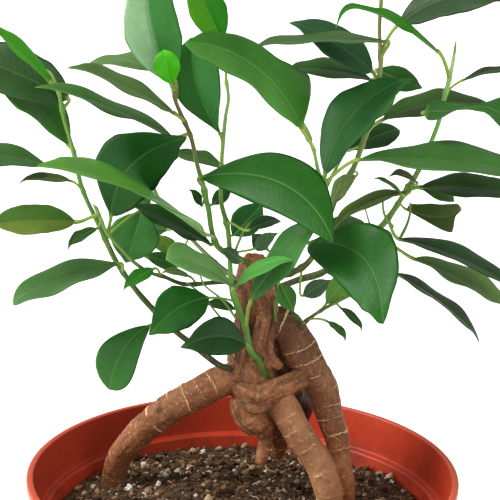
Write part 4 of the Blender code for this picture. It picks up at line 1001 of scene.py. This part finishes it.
def build_rootstock():
    verts, faces, total = [], [], 0
    for key in ALL_ROOTS:
        path, radii = root_line(key, 2.0)
        pts = tube_rings(path, radii, 20)
        verts.append(pts)
        faces += rings_faces(len(path), 20, start=total)
        total += len(pts)
    rough = make("rootstock_rough", np.vstack(verts), faces, BARK)
    m = rough.modifiers.new("grow_together", "REMESH")
    m.mode, m.voxel_size = "VOXEL", ROOT_FINE * MM
    e = rough.modifiers.new("ease", "SMOOTH")
    e.factor, e.iterations = 0.5, 6
    graph = bpy.context.evaluated_depsgraph_get()
    mesh = bpy.data.meshes.new_from_object(rough.evaluated_get(graph))
    bpy.data.objects.remove(rough)
    n = len(mesh.vertices)
    co = np.empty(n * 3, np.float32)
    mesh.vertices.foreach_get("co", co)
    co = co.reshape(-1, 3).astype(float) / MM
    no = np.empty(n * 3, np.float32)
    mesh.vertex_normals.foreach_get("vector", no)
    no = no.reshape(-1, 3).astype(float)

    # where each point lies along its nearest root, and round it
    lines = {key: root_line(key, 0.5) for key in ALL_ROOTS}
    order = list(ALL_ROOTS)
    best = np.full(n, 1e9)
    second_best = np.full(n, 1e9)
    run, angle, which, radius = np.zeros(n), np.zeros(n), np.zeros(n, int), np.ones(n)
    for w, key in enumerate(order):
        path, radii = lines[key]
        way = np.gradient(path, axis=0)
        way /= np.linalg.norm(way, axis=1)[:, None]
        tree = KDTree(len(path))
        for i, p in enumerate(path):
            tree.insert(p, i)
        tree.balance()
        near = np.array([tree.find(p)[1] for p in co])
        d = co - path[near]
        rel = np.linalg.norm(d, axis=1) / radii[near]
        ref = np.cross(way[near], np.array([0.2, -0.9, 0.3]))
        ref /= np.linalg.norm(ref, axis=1)[:, None]
        other = np.cross(way[near], ref)
        a = np.arctan2((d * other).sum(1), (d * ref).sum(1))
        take = rel < best
        second_best = np.where(take, best, np.minimum(second_best, rel))
        best[take] = rel[take]
        run[take], angle[take], which[take], radius[take] = near[take] * 0.5, a[take], w, radii[near][take]

    seedling = which * 13.7
    round_mm = angle * radius
    # thin raised rings across the roots, at uneven distances and only part of the way round
    wobble = 0.8 * noise3(np.stack([np.cos(angle) * 1.1, np.sin(angle) * 1.1, seedling + run / 40], -1), 2)
    s = run + wobble
    warped = s / 5.6 + 0.55 * noise3(np.stack([s / 9.0, seedling, np.zeros(n)], -1), 4)
    frac = np.abs(warped - np.round(warped)) * 5.6
    part = noise3(np.stack([np.round(warped) * 3.3, np.cos(angle) * 0.9 + seedling, np.sin(angle) * 0.9], -1), 6)
    ring = np.exp(-(frac / 0.30) ** 2) * np.clip((part + 0.16) * 3.0, 0, 1)
    trunkish = np.isin(which, [order.index(k) for k in ("trunk", "band", "web", "bulge", *STRANDS)]).astype(float)
    ring *= 1 - 0.75 * trunkish
    # bark: long fibres down each root, lumps, and small pits
    fibre = fractal(np.stack([np.cos(angle) * radius / 1.5, np.sin(angle) * radius / 1.5, run / 11.0 + seedling], -1), 21, 3)
    twist = fractal(np.stack([np.cos(angle + run / 26) * radius / 2.4, np.sin(angle + run / 26) * radius / 2.4, run / 15.0 + seedling], -1), 25, 3)
    lumps = fractal(co / 7.0, 33, 3)
    pits = fractal(co / 1.9, 41, 2)
    crease = -np.abs(twist) ** 0.6
    thin = np.clip(radius / 5.5, 0.35, 1.2)
    lift = thin * (0.50 * lumps + 0.20 * pits + 0.30 * fibre) + 0.26 * ring
    lift += trunkish * (1.15 * crease + 0.6 * fibre + 0.65)
    # a healed scar on the left root, with a sunken middle
    left = order.index("left")
    knot = np.array(KNOT)
    dk = np.linalg.norm(co - knot, axis=1)
    lift += 0.9 * np.exp(-(dk / 4.2) ** 2) - 1.5 * np.exp(-(dk / 1.9) ** 2)
    top = np.clip((co[:, 2] - (TRUNK_TOP - 2.2)) / 1.2, 0, 1) * (which == order.index("trunk"))
    lift = lift * (1 - 0.6 * top)
    co = co + no * lift[:, None]
    mesh.vertices.foreach_set("co", (co * MM).astype(np.float32).ravel())
    # painted shade: dark where two roots meet, in the trunk's grooves, at the scar's sunken middle, in pits, on the web
    # and behind roots, and low on the roots near the soil
    join = np.clip(1 - (second_best - best) / 0.22, 0, 1) * np.clip((best - 0.75) * 4, 0, 1)
    groove = np.clip(1 - np.abs(twist) / 0.13, 0, 1)
    painted_shade = np.clip(trunkish * groove * 0.8 + np.exp(-(dk / 1.9) ** 2) * 0.9 + 0.5 * join + 0.45 * np.clip(-pits - 0.2, 0, 1), 0, 1)
    painted_shade = np.clip(painted_shade + (which == order.index("web")) * 0.55 + (which == order.index("behind")) * 0.35, 0, 1)
    # painted shade low on the roots, darker towards the soil
    low_shade = np.clip((114.0 - co[:, 2]) / 6.0, 0, 1)
    painted_shade = np.clip(painted_shade + 0.45 * low_shade, 0, 1)
    # painted light and shade per root, from the table of root brightness, with a little random variation from the lumps
    light_shade = np.ones(n)
    for key, (a, b) in ROOT_LIGHT_SHADE.items():
        mine = which == order.index(key)
        light_shade[mine] = a + (b - a) * run[mine] / (len(lines[key][0]) * 0.5)
    light_shade = light_shade * (1 + 0.10 * lumps)
    for key, values in (("swing", np.cos(2 * PI * warped)), ("part", np.clip((part + 0.16) * 3.0, 0, 1) * (1 - 0.75 * trunkish)), ("painted_shade", painted_shade), ("cut", top), ("light_shade", light_shade)):
        layer = mesh.attributes.new(key, "FLOAT", "POINT")
        layer.data.foreach_set("value", values.astype(np.float32))
    mesh.update()
    mesh.shade_smooth()
    mesh.materials.clear()
    mesh.materials.append(BARK)
    obj = bpy.data.objects.new("rootstock_fine", mesh)
    collection.objects.link(obj)
    attach(obj, "root_bark", "rootstock")
    return obj


# ---- shoots ----

def build_shoot(key):
    foot_r, tip_r, points, title = SHOOTS[key]
    path = smooth_path(points, 0.9)
    if key in FOOT:
        path = np.vstack([smooth_path([FOOT[key], points[0]], 0.9)[:-1], path])
    if key in BUD_WITHIN:
        path = path[: -int(BUDS[key][0] / 0.9)]
    n = len(path)
    run = np.arange(n) * 0.9
    total = run[-1]
    t = run / total
    radii = 0.87 * (foot_r + (tip_r - foot_r) * t ** 0.9) * (1 + 0.06 * np.sin(run / 4.1 + len(title)))
    for leaf in LEAF_DATA.values():
        if leaf["shoot"] == key:
            at = float(np.argmin(np.linalg.norm(path - leaf["node"], axis=1))) * 0.9
            radii = radii + 0.22 * np.exp(-((run - at) / 1.0) ** 2)
    radii = radii * (1 + 0.05 * noise3(np.stack([run / 3.0, np.full(n, len(title) * 1.0), np.zeros(n)], -1), 3))
    sides = 14
    bud = BUDS.get(key)
    flag = np.zeros(n)
    if bud:
        length, width, lean = bud
        way = unit(path[-1] - path[-4])
        side = unit(np.cross(way, [0.1, 1.0, 0.05]))
        k = max(6, int(length / 0.7))
        f = np.arange(1, k + 1) / k
        extra = path[-1] + np.outer(f * length, way) + np.outer(lean * f**2, side)
        shape = width * np.sin(PI * (0.22 + 0.78 * f) ** 0.8) ** 0.9
        shape[-1] = 0.08
        path = np.vstack([path, extra])
        radii = np.concatenate([radii, np.maximum(shape, 0.08)])
        flag = np.concatenate([flag, np.clip(f * 3, 0, 1)])
        t = np.concatenate([t, np.ones(k)])
    else:
        radii[-1] *= 0.6
    pts = tube_rings(path, radii, sides)
    rows = STEM_TONES[key]
    tones = np.stack([np.interp(t, [r[0] for r in rows], [srgb(*r[1:])[k] for r in rows]) for k in range(3)], 1)
    obj = make(title + "_fine", pts, rings_faces(len(path), sides), STEM,
               {"t": np.repeat(t, sides), "bud": np.repeat(flag, sides), "tone": np.repeat(tones, sides, axis=0)})
    attach(obj, "green_stem", title)


# ---- leaves ----

def stalk_path(leaf, count):
    """A stalk from inside the stem to the blade, leaving the stem upwards."""
    x, y, z = leaf["axes"]
    out = unit(x + 4 * leaf["arch"] / 100 * z + 4 * leaf["bow"] / 100 * y)
    a, d = leaf["node"], leaf["base"]
    far = float(np.linalg.norm(d - a))
    b = a + (0.28 * (d - a) + np.array([0, 0, 0.10 * far]))
    c = d - out * min(0.32 * far, 3.0)
    t = np.linspace(0, 1, count)[:, None]
    spots = a * (1 - t) ** 3 + 3 * b * t * (1 - t) ** 2 + 3 * c * t**2 * (1 - t) + d * t**3
    ways = 3 * (b - a) * (1 - t) ** 2 + 6 * (c - b) * t * (1 - t) + 3 * (d - c) * t**2
    return spots, ways


def curve_of(rows, column):
    """A smooth function of u through rows of values."""
    fine = smooth_path([(r[0] * 100, r[column] * 100, 0) for r in rows], 0.5) / 100
    return lambda u: np.interp(u, fine[:, 0], fine[:, 1])


def halves_of(name, leaf, rng):
    """Width of each half of a blade, its sideways sway, and how far each half hangs."""
    W, kind = leaf["width"], leaf["kind"]
    if name in SHAPES:
        rows, hang = SHAPES[name]
        plus, minus, sway = (curve_of(rows, k) for k in (1, 2, 3))
        return (lambda u: plus(u) * W / 2), (lambda u: minus(u) * W / 2), (lambda u: sway(u) * W / 2), [math.radians(a) for a in hang]
    a, b = 1 + 0.05 * (rng.random(2) - 0.5)
    p = rng.random() * 6.28
    ripple = lambda u, q: 1 + 0.012 * math.sin(23 * u + q) + 0.010 * math.sin(41 * u + 2 * q)
    return (lambda u: a * half_width(u, kind) * W * ripple(u, p)), (lambda u: b * half_width(u, kind) * W * ripple(u, p + 2)), (lambda u: 0.0), (0.0, 0.0)


def build_leaf(name, leaf, index):
    rng = np.random.default_rng(100 + index)
    nv = 16
    big = leaf["length"] > 26
    nu = 40 if big else 24
    N = 2 * nv
    L, W = leaf["length"], leaf["width"]
    x, y, z = leaf["axes"]
    vs = np.concatenate([np.linspace(-1, 1, nv + 1), np.linspace(1, -1, nv + 1)[1:-1]])
    side = np.concatenate([np.ones(nv + 1), -np.ones(nv - 1)])
    side[0] = side[nv] = 0
    # stalk
    stalk_n = 9
    spots, ways = stalk_path(leaf, stalk_n)
    frames, fr = [], [x, y, z]
    for way in ways[::-1]:
        fr = turn_to(fr, way)
        frames.append(fr)
    frames = frames[::-1]
    r_s = 0.62 if big else 0.42
    pts, lu, ly, lx, under, edge = [], [], [], [], [], []
    ang = PI - PI * (vs + 1) / 2
    cs, sn = np.cos(ang), np.sin(ang)
    sn = np.where(side < 0, -sn, sn)
    for i in range(stalk_n):
        f = i / (stalk_n - 1)
        r = r_s * (1.22 - 0.3 * math.sin(PI * f) ** 0.7)
        a, b = frames[i][1], frames[i][2]
        pts.append(spots[i] + r * (cs[:, None] * a + sn[:, None] * b))
        lu += [f - 1.0 if i < stalk_n - 1 else 0.0] * N
        ly += [0.0] * N
        lx += [0.0] * N
        under += [0.0] * N
        edge += [0.0] * N
    # blade
    f = np.arange(1, nu + 1) / nu
    us = 0.55 * f + 0.45 * (0.5 - 0.5 * np.cos(PI * f))
    k1, ph1, k2, ph2 = 1.2 + 1.2 * rng.random(), rng.random() * 6.28, 1.2 + 1.4 * rng.random(), rng.random() * 6.28
    wave = (0.35 + 0.45 * rng.random()) * min(1.0, W / 18)
    twist = math.radians((rng.random() - 0.5) * 14)
    plus, minus, sway, hang = halves_of(name, leaf, rng)
    for u in us:
        v = vs
        wide = np.where(v > 0, max(float(plus(u)), 0.10), max(float(minus(u)), 0.10))
        across = v * wide
        slope = math.tan(math.radians(leaf["fold"]))
        lift = leaf["arch"] / 100 * L * 4 * u * (1 - u)
        fold = slope * np.abs(across) - 0.5 * slope * across**2 / (0.5 * W)
        shape = fold - np.abs(across) * np.where(v > 0, math.sin(hang[0]), math.sin(hang[1]))
        shape = shape + wave * np.where(v > 0, np.sin(2 * PI * k1 * u + ph1), np.sin(2 * PI * k2 * u + ph2)) * v**2 * math.sin(PI * min(1, u * 1.02)) ** 0.5
        shape = shape + across * math.tan(twist) * (u - 0.4)
        shape = shape - 1.2 * max(0.0, (u - 0.86) / 0.14) ** 2
        thick = (0.46 if big else 0.34) * (1 - 0.62 * v**2)
        thick = thick * (1 if u < 0.97 else 0.6)
        ridge = (0.50 if big else 0.3) * (1 - 0.75 * u) * np.exp(-((across / 0.6) ** 2))
        groove = (0.16 if big else 0.08) * (1 - 0.6 * u) * np.exp(-((across / 0.45) ** 2))
        off = np.where(side > 0, 0.5 * thick - groove, np.where(side < 0, -0.5 * thick - ridge, 0.0))
        bow = leaf["bow"] / 100 * L * 4 * u * (1 - u)
        flat = across * np.where(v > 0, math.cos(hang[0]), math.cos(hang[1])) + bow + float(sway(u))
        p = leaf["base"] + u * L * x + np.outer(flat, y) + np.outer(lift + shape + off, z)
        p = p - np.outer(LEANS.get(name, 0.0) * np.clip(-across, 0, None), x)
        pts.append(p)
        lu += [u] * N
        ly += across.tolist()
        lx += [u * L] * N
        under += (side < 0).astype(float).tolist()
        edge += np.abs(v).tolist()
    pts = np.vstack(pts)
    rings = stalk_n + nu
    tone = np.array(srgb(*TONES[name])) * LEAF_GAIN * LEAF_CAST * (1 + 0.07 * (rng.random(3) - 0.5))
    # the second half's colour carries painted light and shade across the midrib
    second = np.array(srgb(*HALF_LIGHT_SHADE[name])) * LEAF_GAIN * LEAF_CAST if name in HALF_LIGHT_SHADE else tone
    half = np.clip(0.5 + np.array(ly) / 1.2, 0, 1)[:, None]
    tones = tone * (1 - half) + second * half
    obj = make(name + "_fine", pts, rings_faces(rings, N), LEAF,
               {"lu": lu, "ly": ly, "lx": lx, "under": under, "edge": edge, "seed": np.full(len(pts), float(index)), "tone": tones})
    attach(obj, SLOT[leaf["row_tone"]], *([name] if name.startswith("leaf") else []))
    return obj


LEAF_GAIN = 0.85
LEANS = {"leaf_21": 0.3}
LEAF_CAST = np.array([0.84, 1.0, 0.78])
SLOT = {"green": "leaf_green", "young": "leaf_young", "olive": "leaf_olive"}
LEAF_DATA = {}
for name, row in LEAVES.items():
    LEAF_DATA[name] = leaf_from_row(row[:-1], SHOOTS, True)
    LEAF_DATA[name]["row_tone"] = row[-1]

build_pot()
build_soil()
build_rootstock()
for key in SHOOTS:
    build_shoot(key)
for index, (name, leaf) in enumerate(LEAF_DATA.items()):
    build_leaf(name, leaf, index)
for index, (radius, points) in enumerate(SPRIGS):
    path = smooth_path(points, 0.9)
    n = len(path)
    t = np.linspace(0, 1, n)
    obj = make("sprig_%d" % (index + 1), tube_rings(path, radius * (1.1 - 0.45 * t), 10), rings_faces(n, 10), STEM,
               {"t": np.repeat(0.45 + 0.5 * t, 10), "bud": np.zeros(n * 10), "tone": np.tile(srgb(104, 148, 62), (n * 10, 1))})
    attach(obj, "green_stem")


# ---- floor, light and camera ----

def build_studio():
    bpy.ops.mesh.primitive_plane_add(size=80.0, location=(0, 20.0, 0))
    floor = bpy.context.object
    floor.name = "studio_floor"
    m = Nodes("studio_floor")
    n = m.noise(3.0, 2.0)
    m.shader.inputs["Emission Color"].default_value = (1.0, 1.0, 1.0, 1.0)
    m.shader.inputs["Emission Strength"].default_value = FLOOR_GLOW
    floor.data.materials.append(m.set(color=m.mix(m.remap(n, 0.3, 0.7, 0.0, 1.0), (0.88, 0.88, 0.88), (0.90, 0.90, 0.90)), rough=0.9, spec=0.1))
    world = bpy.data.worlds.new("studio")
    bpy.context.scene.world = world
    world.use_nodes = True
    back = world.node_tree.nodes["Background"]
    back.inputs["Color"].default_value = (1.0, 1.0, 1.0, 1.0)
    back.inputs["Strength"].default_value = WORLD_LIGHT

    def sun(name, heading, height, strength, softness, colour):
        data = bpy.data.lights.new(name, "SUN")
        data.energy = strength
        data.angle = math.radians(softness)
        data.color = colour
        lamp = bpy.data.objects.new(name, data)
        d = heading_pitch(heading, height)
        lamp.rotation_euler = Vector(d.tolist()).to_track_quat("Z", "Y").to_euler()
        lamp.location = (d[0] * 2, d[1] * 2, d[2] * 2)
        collection.objects.link(lamp)

    sun("key_light", *KEY)
    sun("low_light", *LOW)
    sun("fill_light", *FILL)


def build_camera():
    data = bpy.data.cameras.new("view")
    data.sensor_width = 36.0
    data.lens = 86.4
    data.clip_end = 200.0
    cam = bpy.data.objects.new("view", data)
    pitch, roll = math.radians(CAM_PITCH), math.radians(CAM_ROLL)
    ahead = np.array([0, math.cos(pitch), -math.sin(pitch)])
    right = np.array([1.0, 0, 0])
    up = np.cross(right, ahead)
    r2 = right * math.cos(roll) + up * math.sin(roll)
    u2 = -right * math.sin(roll) + up * math.cos(roll)
    spot = np.array(CAM_AT) * MM
    cam.matrix_world = Matrix(((r2[0], u2[0], -ahead[0], spot[0]), (r2[1], u2[1], -ahead[1], spot[1]), (r2[2], u2[2], -ahead[2], spot[2]), (0, 0, 0, 1)))
    collection.objects.link(cam)
    bpy.context.scene.camera = cam


build_studio()
build_camera()
bpy.context.scene.view_settings.view_transform = "Standard"
bpy.context.scene.view_settings.look = "None"

bpy.context.view_layer.update()
